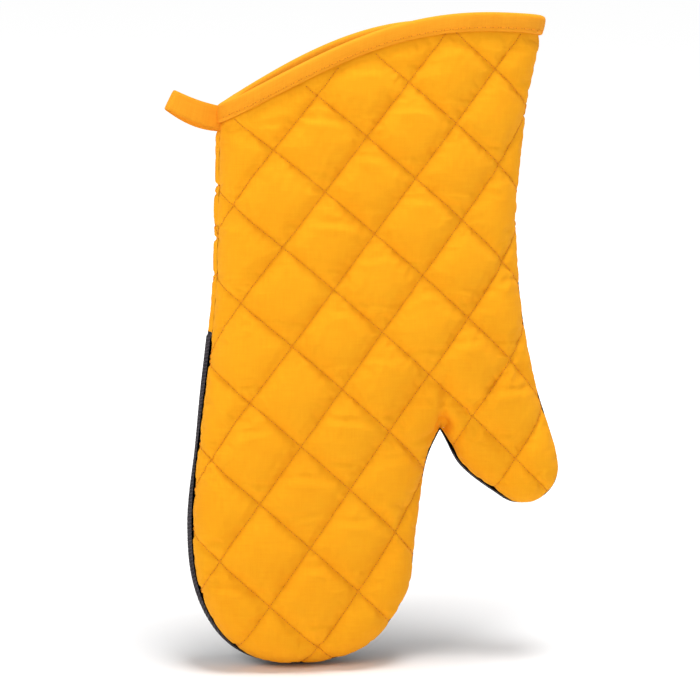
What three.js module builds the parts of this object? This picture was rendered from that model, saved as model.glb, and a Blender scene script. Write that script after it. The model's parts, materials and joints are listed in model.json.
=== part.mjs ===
// A quilted oven mitt, hanging fingers down: a padded back and a padded palm sewn
// together along one seam, a bound mouth, and a tape loop to hang it by.
// Millimetres, +Z up. X runs across the hand with the thumb on +X, the back of the
// hand faces -Y and the palm faces +Y. The origin is the middle of the mouth.
import * as THREE from 'three';

// ---- the outline of the seam, seen from the back of the hand ----
const mouthWidth = 162;        // corner to corner across the mouth
const mouthSlant = 44;         // the thumb-side corner is this much higher
const mouthRise = 15.5;        // the edge bows up between its corners
const mouthSkew = 1.1;         // above 1, the top of the bow lies nearer the thumb
const wristWidth = 150;
const wristDrop = 78;          // from the origin down to the narrowest place
const wristShift = -7.5;       // the wrist's middle, from the origin
const cuffFlare = 2.5;         // the thumb side hollows in above the wrist
const heelX = -84;             // the little-finger side at the heel of the hand
const heelDrop = 120;
const crotchX = 29.5;          // where the thumb parts from the fingers
const crotchDrop = 182;
const mittLength = 299;        // from the origin down to the fingertips
const fingertipRound = 70;     // the height of the rounded end
const fingertipPower = 2.4;    // above 2, the end is squarer than an ellipse
const fingertipX = -43;
const fingersLeft = -95.3;
const fingersRight = 17;
const webX = 22.5;             // the side of the fingers just below the crotch
const webDrop = 15;
const thumbReachX = 43;        // from the crotch to the middle of the thumb's tip
const thumbReachZ = -21;
const thumbTipRadius = 17.5;
const thumbInnerBow = 4;
const thumbOuterBow = 5.3;
const thumbFoldRise = 28;      // from the crotch up to the outer end of the thumb's fold

// ---- how full the mitt is, measured from its middle plane to one face ----
const handEdge = { radius: 15, rise: 15.5, crown: 7 };
const fingerEdge = { radius: 14, rise: 14.5, crown: 4 };
const thumbEdge = { radius: 12, rise: 11.5, crown: 1.5 };
const crownReach = 45;         // the crown is full this far in from the seam
const regionBlend = 32;        // fullness changes over this distance each way

// ---- layers ----
const coverThickness = 0.6;
const waddingThickness = 4.5;
const waddingBound = 1.5;      // pressed flat under the binding
const gripThickness = 2.4;
const liningThickness = 0.5;
const layerGap = 0.3;
const seamGap = 0.3;           // between the back and the palm, along the seam
const gripTopShare = 0.69;     // share of the hand's length above the grip
const gripTopGap = 0.8;        // between the palm cuff and the grip

// ---- binding and its thread ----
const bindingWidth = 8;
const bindingThickness = 0.9;
const bindingClear = 0.75;     // from the layers that it wraps
const bindingDip = 1.2;        // the quilt sinks this much where it is bound
const squeezeReach = 14;       // and is at its full thickness this far below
const threadThickness = 0.6;
const threadInset = 1.6;       // from the binding's lower edge

// ---- hanging loop ----
// From the mouth's lower corner, out to the side and up, to the tape's four corners.
const loopRootTop = { out: 4.4, up: -0.5 };
const loopRootBottom = { out: 4.4, up: -12.5 };
const loopTipTop = { out: 23.5, up: 8.7 };
const loopTipBottom = { out: 28.2, up: -0.5 };
const tapeThickness = 1.3;
const loopRootSpread = 1;      // clear between the two layers where they are sewn
const loopSpread = 6.4;        // clear between them at the widest
const loopTipSpread = 4.3;     // clear between them where the tape bends round
const loopWideShare = 0.55;    // share of the tape's length by which it is widest
const loopDrawnShare = 0.7;    // from here the layers draw together towards the tip
const loopBendShare = 0.86;    // from here the tape bends round
const loopInnerReach = 0.62;   // share of the bend's length that its inside takes up

// ---- the two folds ----
const fingerFoldRange = 60;    // degrees towards the palm
const thumbFoldRange = 45;
const foldGap = 0.4;

// ---- how finely the faces are divided ----
const fingerColumns = 8;
const thumbColumns = 5;
const handRows = [0, 0.065, 0.13, 0.25, 0.4, 0.55, gripTopShare, 0.78, 0.87, 0.94, 1];
const fingerRows = [0, 0.14, 0.32, 0.5, 0.68, 0.82, 0.92, 1];
const thumbRows = [0, 0.2, 0.42, 0.64, 0.84, 1];
const crotchShare = 0.67;      // share of the hand's width on the finger side
const loopTipSteps = 5;        // odd, so that the inside of the tip has a flat seat
const loopSideSteps = 5;
const seamSamples = 360;
const seamOverrun = 14;        // the seam is carried on past the mouth's corners
const mouthSamples = 60;
const endShare = 0.02;         // share of a line that gives its direction at an end
const boundShare = 0.08;       // share of the hand's length that gives the way down from the mouth
const onTheSeam = 0.05;        // nearer than this, a point counts as on the seam
const halvings = 40;

const BACK = -1;
const PALM = 1;
const flat = (x, z) => new THREE.Vector2(x, z);
const smooth = (a, b, x) => THREE.MathUtils.smoothstep(x, a, b);
const cosine = (n) => Array.from({ length: n + 1 }, (_, i) => 0.5 - 0.5 * Math.cos((Math.PI * i) / n));

// ------------------------------------------------------------------ outline
const mouthLeft = flat(-mouthWidth / 2, -mouthSlant / 2);
const mouthRight = flat(mouthWidth / 2, mouthSlant / 2);
const wristLeft = flat(wristShift - wristWidth / 2, -wristDrop);
const wristRight = flat(wristShift + wristWidth / 2, -wristDrop);
const crotch = flat(crotchX, -crotchDrop);
const thumbTip = crotch.clone().add(flat(thumbReachX, thumbReachZ));

/** A point on the rounded fingertips, by its angle in degrees: 270 is the lowest. */
function fingertipPoint(degrees) {
  const angle = THREE.MathUtils.degToRad(degrees);
  const across = Math.abs(Math.cos(angle)) ** (2 / fingertipPower);
  const down = Math.abs(Math.sin(angle)) ** (2 / fingertipPower);
  const reach = Math.cos(angle) < 0 ? fingersLeft - fingertipX : fingersRight - fingertipX;
  return flat(fingertipX + reach * across, fingertipRound - mittLength - fingertipRound * down);
}

/** A point on the thumb's round tip, by its angle in degrees. */
function thumbTipPoint(degrees) {
  const angle = THREE.MathUtils.degToRad(degrees);
  return thumbTip.clone().add(flat(Math.cos(angle), Math.sin(angle)).multiplyScalar(thumbTipRadius));
}

/** A point at share s from a to b, pushed out sideways by a shallow bow. */
function bowed(a, b, s, bow) {
  const across = b.clone().sub(a).normalize();
  const side = flat(-across.y, across.x);
  return a.clone().lerp(b, s).addScaledVector(side, 4 * bow * s * (1 - s));
}

/** A smooth line through points, read by the share of its length. */
function curveThrough(points) {
  const lifted = points.map((p) => new THREE.Vector3(p.x, 0, p.y));
  const curve = new THREE.CatmullRomCurve3(lifted, false, 'centripetal');
  curve.arcLengthDivisions = seamSamples;
  return (s) => {
    const p = curve.getPointAt(THREE.MathUtils.clamp(s, 0, 1));
    return flat(p.x, p.z);
  };
}

const fingerSeam = curveThrough([
  mouthLeft,
  wristLeft,
  flat(heelX, -heelDrop),
  ...[180, 205, 230, 250, 270, 290, 310, 335, 360].map(fingertipPoint),
  flat(webX, -crotchDrop - webDrop),
  crotch,
]);
const thumbSeam = curveThrough([
  crotch,
  bowed(crotch, thumbTipPoint(-135), 0.5, -thumbInnerBow),
  ...[-135, -105, -75, -45, -15, 20].map(thumbTipPoint),
  bowed(thumbTipPoint(20), wristRight, 1 / 3, thumbOuterBow),
  bowed(thumbTipPoint(20), wristRight, 2 / 3, thumbOuterBow),
  wristRight,
  bowed(wristRight, mouthRight, 0.5, cuffFlare),
  mouthRight,
]);

/** The share s between a and b where a seam passes the height z. */
function shareAtHeight(seam, z, a, b) {
  const above = seam(a).y > z;
  for (let i = 0; i < halvings; i += 1) {
    const middle = (a + b) / 2;
    if (seam(middle).y > z === above) {
      a = middle;
    } else {
      b = middle;
    }
  }
  return (a + b) / 2;
}

/** The share s where a seam comes nearest to a point. */
function shareNearest(seam, target) {
  let best = 0;
  for (let i = 0; i <= seamSamples; i += 1) {
    const share = i / seamSamples;
    if (seam(share).distanceTo(target) < seam(best).distanceTo(target)) best = share;
  }
  return best;
}

const stretch = (seam, a, b) => (t) => seam(a + (b - a) * t);
const straight = (a, b) => (t) => a.clone().lerp(b, t);

const tipShare = shareNearest(fingerSeam, fingertipPoint(270));
const foldShare = shareAtHeight(fingerSeam, -crotchDrop, 0, tipShare);
const thumbEndShare = shareNearest(thumbSeam, thumbTipPoint(20));
const thumbFoldShare = shareAtHeight(thumbSeam, thumbFoldRise - crotchDrop, thumbEndShare, 1);
const foldLeft = fingerSeam(foldShare);
const foldRight = thumbSeam(thumbFoldShare);
const thumbAlong = foldRight.clone().sub(crotch).normalize();
const thumbDown = flat(thumbAlong.y, -thumbAlong.x);

function mouthEdge(u) {
  const p = mouthLeft.clone().lerp(mouthRight, u);
  p.y += mouthRise * Math.sin(Math.PI * u ** mouthSkew);
  return p;
}

/** The two fold lines, meeting at the crotch: the hand's lower border. */
function foldEdge(u) {
  if (u < crotchShare) return foldLeft.clone().lerp(crotch, u / crotchShare);
  return crotch.clone().lerp(foldRight, (u - crotchShare) / (1 - crotchShare));
}

/** A patch spanned between four borders: (u, t) goes across and down. */
function patch(top, bottom, left, right) {
  return (u, t) => {
    const p = top(u).multiplyScalar(1 - t);
    p.addScaledVector(bottom(u), t);
    p.addScaledVector(left(t), 1 - u);
    p.addScaledVector(right(t), u);
    p.addScaledVector(top(0), -(1 - u) * (1 - t));
    p.addScaledVector(top(1), -u * (1 - t));
    p.addScaledVector(bottom(0), -(1 - u) * t);
    p.addScaledVector(bottom(1), -u * t);
    return p;
  };
}

const fingerCorner = {
  left: shareNearest(fingerSeam, fingertipPoint(230)),
  right: shareNearest(fingerSeam, fingertipPoint(310)),
};
const thumbCorner = {
  left: shareNearest(thumbSeam, thumbTipPoint(-115)),
  right: shareNearest(thumbSeam, thumbTipPoint(-20)),
};
const handPatch = patch(
  mouthEdge,
  foldEdge,
  stretch(fingerSeam, 0, foldShare),
  stretch(thumbSeam, 1, thumbFoldShare),
);
const fingerPatch = patch(
  straight(foldLeft, crotch),
  stretch(fingerSeam, fingerCorner.left, fingerCorner.right),
  stretch(fingerSeam, foldShare, fingerCorner.left),
  stretch(fingerSeam, 1, fingerCorner.right),
);
const thumbPatch = patch(
  straight(crotch, foldRight),
  stretch(thumbSeam, thumbCorner.left, thumbCorner.right),
  stretch(thumbSeam, 0, thumbCorner.left),
  stretch(thumbSeam, thumbFoldShare, thumbCorner.right),
);

// ---------------------------------------------------- distance to the seam
function seamLine() {
  const line = [];
  const runOn = (end, before) => end.clone().sub(before).normalize().multiplyScalar(seamOverrun).add(end);
  line.push(runOn(fingerSeam(0), fingerSeam(endShare)));
  for (let i = 0; i <= seamSamples; i += 1) line.push(fingerSeam(i / seamSamples));
  for (let i = 1; i <= seamSamples; i += 1) line.push(thumbSeam(i / seamSamples));
  line.push(runOn(thumbSeam(1), thumbSeam(1 - endShare)));
  return line;
}
const seam = seamLine();
const mouthLine = Array.from({ length: mouthSamples + 1 }, (_, i) => mouthEdge(i / mouthSamples));

/** The distance from p to a line of points, and the direction away from it. */
function nearest(line, p) {
  let best = { distance: Infinity };
  for (let i = 1; i < line.length; i += 1) {
    const a = line[i - 1];
    const run = line[i].clone().sub(a);
    const share = THREE.MathUtils.clamp(p.clone().sub(a).dot(run) / run.lengthSq(), 0, 1);
    const away = p.clone().sub(a).addScaledVector(run, -share);
    if (away.length() < best.distance) best = { distance: away.length(), away, run };
  }
  const inward = flat(-best.run.y, best.run.x).normalize();
  const direction = best.distance > onTheSeam ? best.away.normalize() : inward;
  return { distance: best.distance, direction };
}

/** How full the mitt is at p, between hand, fingers and thumb. */
function fullness(p) {
  const fingers = smooth(-regionBlend, regionBlend, -crotchDrop - p.y);
  const beyond = p.clone().sub(crotch).dot(thumbDown);
  const besideThumb = smooth(-regionBlend, regionBlend / 2, p.x - crotchX);
  const thumb = smooth(-regionBlend, regionBlend, beyond) * besideThumb;
  const mix = (key) => {
    const hand = THREE.MathUtils.lerp(handEdge[key], fingerEdge[key], fingers);
    return THREE.MathUtils.lerp(hand, thumbEdge[key], thumb);
  };
  return { radius: mix('radius'), rise: mix('rise'), crown: mix('crown') };
}

/** 0 under the binding, 1 where the quilt has its full thickness. */
function looseness(p) {
  const free = bindingWidth + bindingClear;
  return smooth(free, free + squeezeReach, nearest(mouthLine, p).distance);
}

/** Depths below the outer face where each layer starts and ends. */
function layerDepths(loose) {
  const wadding = THREE.MathUtils.lerp(waddingBound, waddingThickness, loose);
  const waddingStart = coverThickness + layerGap;
  const waddingEnd = waddingStart + wadding;
  const liningStart = waddingEnd + layerGap;
  return {
    cover: [0, coverThickness],
    wadding: [waddingStart, waddingEnd],
    grip: [0, gripThickness],
    palmWadding: [gripThickness + layerGap, waddingEnd],
    lining: [liningStart, liningStart + liningThickness],
    all: [-bindingClear, liningStart + liningThickness + bindingClear],
  };
}

/** The point on one side of the mitt over p, at a depth below the outer face. */
function onSide(p, side, depth, options = {}) {
  const { distance, direction } = nearest(seam, p);
  const full = fullness(p);
  const inset = Math.min(distance / full.radius, 1);
  const sine = Math.sqrt(1 - (1 - inset) ** 2);
  const crown = full.crown * smooth(0, crownReach, distance);
  const dip = bindingDip * (1 - looseness(p)) * sine;
  const height = (full.rise - depth) * sine + crown - dip + (options.gap ?? seamGap) / 2;
  const away = options.inward ?? direction;
  const moved = p.clone().addScaledVector(away, depth * (1 - inset));
  return new THREE.Vector3(moved.x, side * height, moved.y);
}

// ------------------------------------------------------------------ solids
function solid(vertices, triangles) {
  const geometry = new THREE.BufferGeometry();
  const numbers = vertices.flatMap((v) => v.toArray());
  geometry.setAttribute('position', new THREE.Float32BufferAttribute(numbers, 3));
  let volume = 0;
  for (const [a, b, c] of triangles) volume += vertices[a].dot(vertices[b].clone().cross(vertices[c]));
  const order = volume > 0 ? ([a, b, c]) => [a, b, c] : ([a, b, c]) => [a, c, b];
  geometry.setIndex(triangles.flatMap(order));
  geometry.computeVertexNormals();
  return geometry;
}

/** A sheet with thickness, between two equal grids of points. */
function sheet(outer, inner) {
  const rows = outer.length;
  const columns = outer[0].length;
  const vertices = [...outer.flat(), ...inner.flat()];
  const top = (i, j) => i * columns + j;
  const under = (i, j) => rows * columns + top(i, j);
  const triangles = [];
  const quad = (a, b, c, d) => triangles.push([a, b, c], [a, c, d]);
  for (let i = 1; i < rows; i += 1) {
    for (let j = 1; j < columns; j += 1) {
      quad(top(i - 1, j - 1), top(i - 1, j), top(i, j), top(i, j - 1));
      quad(under(i - 1, j - 1), under(i, j - 1), under(i, j), under(i - 1, j));
    }
  }
  const border = [];
  for (let j = 0; j < columns - 1; j += 1) border.push([0, j]);
  for (let i = 0; i < rows - 1; i += 1) border.push([i, columns - 1]);
  for (let j = columns - 1; j > 0; j -= 1) border.push([rows - 1, j]);
  for (let i = rows - 1; i > 0; i -= 1) border.push([i, 0]);
  border.forEach(([i, j], k) => {
    const [i2, j2] = border[(k + 1) % border.length];
    quad(top(i, j), under(i, j), under(i2, j2), top(i2, j2));
  });
  return solid(vertices, triangles);
}

/** A closed ring: the same profile of points at every station. */
function ring(stations) {
  const sides = stations[0].length;
  const triangles = [];
  stations.forEach((_, i) => {
    const next = (i + 1) % stations.length;
    for (let k = 0; k < sides; k += 1) {
      const k2 = (k + 1) % sides;
      const [a, b] = [i * sides + k, i * sides + k2];
      const [c, d] = [next * sides + k2, next * sides + k];
      triangles.push([a, b, c], [a, c, d]);
    }
  });
  return solid(stations.flat(), triangles);
}

// ------------------------------------------------------------------ panels
// A face that stands d out from the plane is cut back d times this, to let the fold close.
const tanHalf = (degrees) => Math.tan(THREE.MathUtils.degToRad(degrees / 2));
const fingerSlope = tanHalf(fingerFoldRange);
const thumbSlope = tanHalf(thumbFoldRange);
const acrossFingers = flat(1, 0);
const handColumns = [
  ...cosine(fingerColumns).map((s) => s * crotchShare),
  ...cosine(thumbColumns).slice(1).map((s) => crotchShare + s * (1 - crotchShare)),
];

const regions = {
  hand: {
    at: handPatch,
    columns: handColumns,
    rows: handRows,
    foldRow: 1,
    fade: (t) => smooth(gripTopShare, 1, t),
    setback: (u) => {
      const fromFingers = flat(0, 1);
      const fromThumb = thumbDown.clone().negate();
      if (u === crotchShare) return { away: fromFingers.add(fromThumb).normalize(), slope: 0 };
      if (u < crotchShare) return { away: fromFingers, slope: fingerSlope, along: acrossFingers };
      return { away: fromThumb, slope: thumbSlope, along: thumbAlong };
    },
  },
  fingers: {
    at: fingerPatch,
    columns: cosine(fingerColumns),
    rows: fingerRows,
    foldRow: 0,
    fade: (t) => 1 - smooth(0, 0.5, t),
    setback: () => ({ away: flat(0, -1), slope: fingerSlope, along: acrossFingers }),
  },
  thumb: {
    at: thumbPatch,
    columns: cosine(thumbColumns),
    rows: thumbRows,
    foldRow: 0,
    fade: (t) => 1 - smooth(0, 0.7, t),
    setback: () => ({ away: thumbDown.clone(), slope: thumbSlope, along: thumbAlong }),
  },
};

/** Which way along the fold leads inward at u: in from the nearer end of the row. */
function foldSense(region, u) {
  if (region !== regions.hand) return u < 0.5 ? 1 : -1;
  if (u < crotchShare) return u < crotchShare / 2 ? 1 : -1;
  return u < (1 + crotchShare) / 2 ? 1 : -1;
}

/** One point of a layer, moved clear of the fold that its region ends at. */
function layerPoint(region, side, u, t, depth) {
  const p = region.at(u, t);
  const { away, slope, along } = region.setback(u);
  const options = {};
  if (t === region.foldRow) {
    options.inward = along ? along.clone().multiplyScalar(foldSense(region, u)) : away.clone();
  }
  const point = onSide(p, side, depth, options);
  const wedge = Math.max(0, point.y) * slope + foldGap / 2;
  const shift = away.multiplyScalar(wedge * region.fade(t));
  return point.add(new THREE.Vector3(shift.x, 0, shift.y));
}

/** One layer of one region, between two rows, trimmed by a little at each of them. */
function panel(region, side, layer, from = 0, to = 1, trim = [0, 0]) {
  const rows = region.rows.filter((t) => t >= from && t <= to);
  const grid = (face) => rows.map((t) => region.columns.map((u) => {
    const p = region.at(u, t);
    const depth = layerDepths(looseness(p))[layer][face];
    const point = layerPoint(region, side, u, t, depth);
    if (t === from) point.z -= trim[0];
    if (t === to) point.z += trim[1];
    return point;
  }));
  return sheet(grid(0), grid(1));
}

// ----------------------------------------------------------------- binding
/** A distance down the mitt from a point on its mouth, towards another point. */
function downFrom(start, towards, down) {
  return start.clone().addScaledVector(towards.sub(start).normalize(), down);
}

/** The mouth's border at u, a distance down the mitt, at a depth; y is 0 at the ends. */
function boundPoint(side, u, down, depth) {
  if (u === 0) return onSide(downFrom(mouthLeft, fingerSeam(endShare), down), side, depth, { gap: 0 });
  if (u === 1) return onSide(downFrom(mouthRight, thumbSeam(1 - endShare), down), side, depth, { gap: 0 });
  return onSide(downFrom(mouthEdge(u), handPatch(u, boundShare), down), side, depth);
}

/** Stations all the way round the mouth, back face first, then the palm face. */
function roundTheMouth(profile) {
  const across = handColumns.map((u) => [BACK, u]);
  const returning = handColumns.slice(1, -1).reverse().map((u) => [PALM, u]);
  const station = ([side, u]) => profile.map(([down, depth]) => boundPoint(side, u, down, depth));
  return [...across, ...returning].map(station);
}

function bindingGeometry() {
  const [outside, inside] = layerDepths(0).all;
  const far = inside + bindingThickness;
  const near = outside - bindingThickness;
  const top = -bindingClear - bindingThickness;
  return ring(roundTheMouth([
    [bindingWidth, near],
    [top, near],
    [top, far],
    [bindingWidth, far],
    [bindingWidth, inside],
    [-bindingClear, inside],
    [-bindingClear, outside],
    [bindingWidth, outside],
  ]));
}

function threadGeometry() {
  const near = layerDepths(0).all[0] - bindingThickness - layerGap;
  const low = bindingWidth - threadInset;
  const high = low - threadThickness;
  return ring(roundTheMouth([
    [low, near],
    [low, near - threadThickness],
    [high, near - threadThickness],
    [high, near],
  ]));
}

// -------------------------------------------------------------------- loop
/** The loop's path as shares along the tape and offsets in y, for one face of it. */
function loopPath(offset) {
  const side = (sign) => Array.from({ length: loopSideSteps }, (_, i) => {
    const s = i / loopSideSteps;
    const opened = THREE.MathUtils.lerp(loopRootSpread, loopSpread, smooth(0, loopWideShare, s));
    const spread = opened - (loopSpread - loopTipSpread) * smooth(loopDrawnShare, 1, s);
    return [s * loopBendShare, sign * (spread / 2 + offset)];
  });
  const reach = (1 - loopBendShare) * (offset > 0 ? 1 : loopInnerReach);
  const tip = Array.from({ length: loopTipSteps + 1 }, (_, i) => {
    const angle = (Math.PI * i) / loopTipSteps;
    return [loopBendShare + reach * Math.sin(angle), -(loopTipSpread / 2 + offset) * Math.cos(angle)];
  });
  return [...side(-1), ...tip, ...side(1).reverse()];
}

function loopGeometry() {
  const corner = ({ out, up }) => mouthLeft.clone().add(flat(-out, up));
  const top = straight(corner(loopRootTop), corner(loopTipTop));
  const bottom = straight(corner(loopRootBottom), corner(loopTipBottom));
  const face = (offset, edge) => loopPath(offset).map(([s, y]) => new THREE.Vector3(edge(s).x, y, edge(s).y));
  const outer = [face(tapeThickness, top), face(tapeThickness, bottom)];
  const inner = [face(0, top), face(0, bottom)];
  return sheet(outer, inner);
}

// ---------------------------------------------------------------- assembly
const finishes = {
  cotton: { color: 0xf4a81e, roughness: 0.85 },
  binding: { color: 0xf09a26, roughness: 0.85 },
  wadding: { color: 0xefeae0, roughness: 0.95 },
  lining: { color: 0xe89a34, roughness: 0.9 },
  neoprene: { color: 0x2f2b2f, roughness: 0.7 },
  thread: { color: 0xd97c12, roughness: 0.6 },
};
const group = new THREE.Group();

function add(name, geometry, finish) {
  const material = new THREE.MeshStandardMaterial({ ...finishes[finish], metalness: 0 });
  const mesh = new THREE.Mesh(geometry, material);
  mesh.name = name;
  group.add(mesh);
}

const { hand, fingers, thumb } = regions;
const halfGap = gripTopGap / 2;
add('hand_back_cover', panel(hand, BACK, 'cover'), 'cotton');
add('hand_back_wadding', panel(hand, BACK, 'wadding'), 'wadding');
add('hand_back_lining', panel(hand, BACK, 'lining'), 'lining');
add('palm_cuff_cover', panel(hand, PALM, 'cover', 0, gripTopShare, [0, halfGap]), 'cotton');
add('palm_cuff_wadding', panel(hand, PALM, 'wadding', 0, gripTopShare, [0, halfGap]), 'wadding');
add('palm_grip', panel(hand, PALM, 'grip', gripTopShare, 1, [halfGap, 0]), 'neoprene');
add('palm_wadding', panel(hand, PALM, 'palmWadding', gripTopShare, 1, [halfGap, 0]), 'wadding');
add('palm_lining', panel(hand, PALM, 'lining'), 'lining');

for (const [name, region] of [['finger', fingers], ['thumb', thumb]]) {
  add(`${name}_back_cover`, panel(region, BACK, 'cover'), 'cotton');
  add(`${name}_back_wadding`, panel(region, BACK, 'wadding'), 'wadding');
  add(`${name}_back_lining`, panel(region, BACK, 'lining'), 'lining');
  add(`${name}_grip`, panel(region, PALM, 'grip'), 'neoprene');
  add(`${name}_palm_wadding`, panel(region, PALM, 'palmWadding'), 'wadding');
  add(`${name}_palm_lining`, panel(region, PALM, 'lining'), 'lining');
}

add('cuff_binding', bindingGeometry(), 'binding');
add('binding_thread', threadGeometry(), 'thread');
add('hanging_loop', loopGeometry(), 'binding');

export default group;
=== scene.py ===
# %% [markdown]
# # A quilted oven mitt
# The mitt is two padded panels, a back and a palm, sewn together round the edge and
# turned right side out. The back is quilted cotton; the palm is quilted cotton down to
# the heel of the hand and ribbed neoprene below. A folded binding finishes the mouth,
# and a tape loop is caught in its lower corner.
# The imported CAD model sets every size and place, so it is loaded first.

# %% Load the frame
import json
import math

import bpy
import numpy as np
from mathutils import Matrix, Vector
from mathutils.bvhtree import BVHTree
from mathutils.geometry import delaunay_2d_cdt
from mathutils.kdtree import KDTree


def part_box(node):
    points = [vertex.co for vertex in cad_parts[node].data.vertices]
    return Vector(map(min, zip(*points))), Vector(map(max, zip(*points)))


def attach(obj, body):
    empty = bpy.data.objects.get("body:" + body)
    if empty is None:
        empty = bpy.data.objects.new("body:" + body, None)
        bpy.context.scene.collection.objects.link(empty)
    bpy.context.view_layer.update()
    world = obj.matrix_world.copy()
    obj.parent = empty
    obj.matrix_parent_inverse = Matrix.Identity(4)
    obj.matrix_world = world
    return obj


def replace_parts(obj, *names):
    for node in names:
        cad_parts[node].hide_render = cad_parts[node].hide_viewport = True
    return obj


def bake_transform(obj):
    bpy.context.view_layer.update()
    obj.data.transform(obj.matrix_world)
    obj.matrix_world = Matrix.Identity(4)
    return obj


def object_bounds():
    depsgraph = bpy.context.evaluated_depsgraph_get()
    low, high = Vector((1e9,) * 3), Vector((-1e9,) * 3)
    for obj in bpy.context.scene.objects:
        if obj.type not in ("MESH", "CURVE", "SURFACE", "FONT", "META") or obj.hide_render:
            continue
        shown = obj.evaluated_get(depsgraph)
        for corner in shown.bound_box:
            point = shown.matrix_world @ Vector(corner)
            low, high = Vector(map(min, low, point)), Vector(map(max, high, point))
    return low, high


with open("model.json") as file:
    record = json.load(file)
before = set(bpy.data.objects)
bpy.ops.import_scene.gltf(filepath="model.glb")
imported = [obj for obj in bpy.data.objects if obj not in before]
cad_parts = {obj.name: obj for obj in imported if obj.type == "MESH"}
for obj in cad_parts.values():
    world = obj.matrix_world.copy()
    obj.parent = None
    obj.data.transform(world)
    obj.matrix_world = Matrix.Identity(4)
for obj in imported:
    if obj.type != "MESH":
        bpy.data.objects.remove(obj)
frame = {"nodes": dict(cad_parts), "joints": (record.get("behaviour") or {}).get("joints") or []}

bpy.context.view_layer.update()

# %% [markdown]
# ## The camera
# The mitt is seen nearly square on from the back of the hand. The camera stands a
# little to its left and a little above its middle, so that the inside of the mouth and
# a narrow strip of the palm show. A long lens keeps the outline free of perspective.

# %% Camera
MM = 0.001
VIEW_TURN = math.radians(-9)
VIEW_LIFT = math.radians(4)
LENS = 150
SENSOR = 36
FRAME_WIDTH = 350 * MM
AIM_ACROSS = -16 * MM
AIM_HEIGHT = -143 * MM

aim = Vector((math.cos(VIEW_TURN), math.sin(VIEW_TURN), 0)) * AIM_ACROSS
aim.z = AIM_HEIGHT
towards_camera = Vector((
    math.sin(VIEW_TURN) * math.cos(VIEW_LIFT),
    -math.cos(VIEW_TURN) * math.cos(VIEW_LIFT),
    math.sin(VIEW_LIFT),
))
camera_data = bpy.data.cameras.new("camera")
camera_data.lens = LENS
camera_data.sensor_width = SENSOR
camera = bpy.data.objects.new("camera", camera_data)
camera.location = aim + towards_camera * (FRAME_WIDTH * LENS / SENSOR)
camera.rotation_mode = "QUATERNION"
camera.rotation_quaternion = (-towards_camera).to_track_quat("-Z", "Y")
bpy.context.scene.collection.objects.link(camera)
bpy.context.scene.camera = camera
print("camera at", [round(v, 3) for v in camera.location])

# %% [markdown]
# ## The pattern
# A maker cuts both panels from one paper pattern. The pattern here is the same seam
# line as in the frame, in millimetres: two smooth lines that meet at the crotch of the
# thumb. It could be read back from the CAD faces, but those are coarse, so the few
# sizes that make the line are repeated and then measured against the frame.

# %% Sizes of the pattern
MOUTH_LEFT = np.array([-81.0, -22.0])
MOUTH_RIGHT = np.array([81.0, 22.0])
MOUTH_RISE = 15.5
MOUTH_SKEW = 1.1
CROTCH = np.array([29.5, -182.0])
FINGERTIP_X = -43.0
FINGERTIP_TOP = -229.0
FINGERTIP_ROUND = 70.0
FINGERTIP_POWER = 2.4
FINGERS_LEFT = -95.3
FINGERS_RIGHT = 17.0
THUMB_TIP = CROTCH + np.array([43.0, -21.0])
THUMB_TIP_RADIUS = 17.5
print("fingers", FINGERS_RIGHT - FINGERS_LEFT, "mm wide, thumb", 2 * THUMB_TIP_RADIUS, "mm")


# %% The round ends
def fingertip(degrees):
    """A point on the rounded fingertips; 270 degrees is the lowest."""
    c = math.cos(math.radians(degrees))
    s = math.sin(math.radians(degrees))
    reach = (FINGERS_LEFT if c < 0 else FINGERS_RIGHT) - FINGERTIP_X
    across = reach * abs(c) ** (2 / FINGERTIP_POWER)
    down = FINGERTIP_ROUND * abs(s) ** (2 / FINGERTIP_POWER)
    return np.array([FINGERTIP_X + across, FINGERTIP_TOP - down])


def thumb_tip(degrees):
    """A point on the round tip of the thumb."""
    angle = math.radians(degrees)
    return THUMB_TIP + THUMB_TIP_RADIUS * np.array([math.cos(angle), math.sin(angle)])


# %% Bows and smooth lines
def bowed(a, b, share, bow):
    """A point between a and b, pushed out sideways by a shallow bow."""
    along = (b - a) / np.linalg.norm(b - a)
    side = np.array([-along[1], along[0]])
    return a + (b - a) * share + side * 4 * bow * share * (1 - share)


def smooth_line(points, steps=40):
    """A smooth line through points, close enough together to measure from."""
    p = np.array([2 * points[0] - points[1], *points, 2 * points[-1] - points[-2]])
    gap = np.sqrt(np.linalg.norm(np.diff(p, axis=0), axis=1))
    line = []
    for i in range(1, len(p) - 2):
        a, b, c = gap[i - 1], gap[i], gap[i + 1]
        into = (p[i] - p[i - 1]) / a - (p[i + 1] - p[i - 1]) / (a + b) + (p[i + 1] - p[i]) / b
        out = (p[i + 1] - p[i]) / b - (p[i + 2] - p[i]) / (b + c) + (p[i + 2] - p[i + 1]) / c
        for t in np.arange(steps) / steps:
            line.append(
                (2 * t**3 - 3 * t**2 + 1) * p[i]
                + (t**3 - 2 * t**2 + t) * into * b
                + (3 * t**2 - 2 * t**3) * p[i + 1]
                + (t**3 - t**2) * out * b
            )
    return np.array([*line, p[-2]])


def spaced(line, spacing, lengths=None):
    """Points at even distances along a line; lengths may measure it another way."""
    if lengths is None:
        lengths = np.linalg.norm(np.diff(line, axis=0), axis=1)
    along = np.concatenate([[0], np.cumsum(lengths)])
    count = max(1, round(along[-1] / spacing))
    at = np.linspace(0, along[-1], count + 1)
    return np.column_stack([np.interp(at, along, line[:, k]) for k in range(line.shape[1])])


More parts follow.
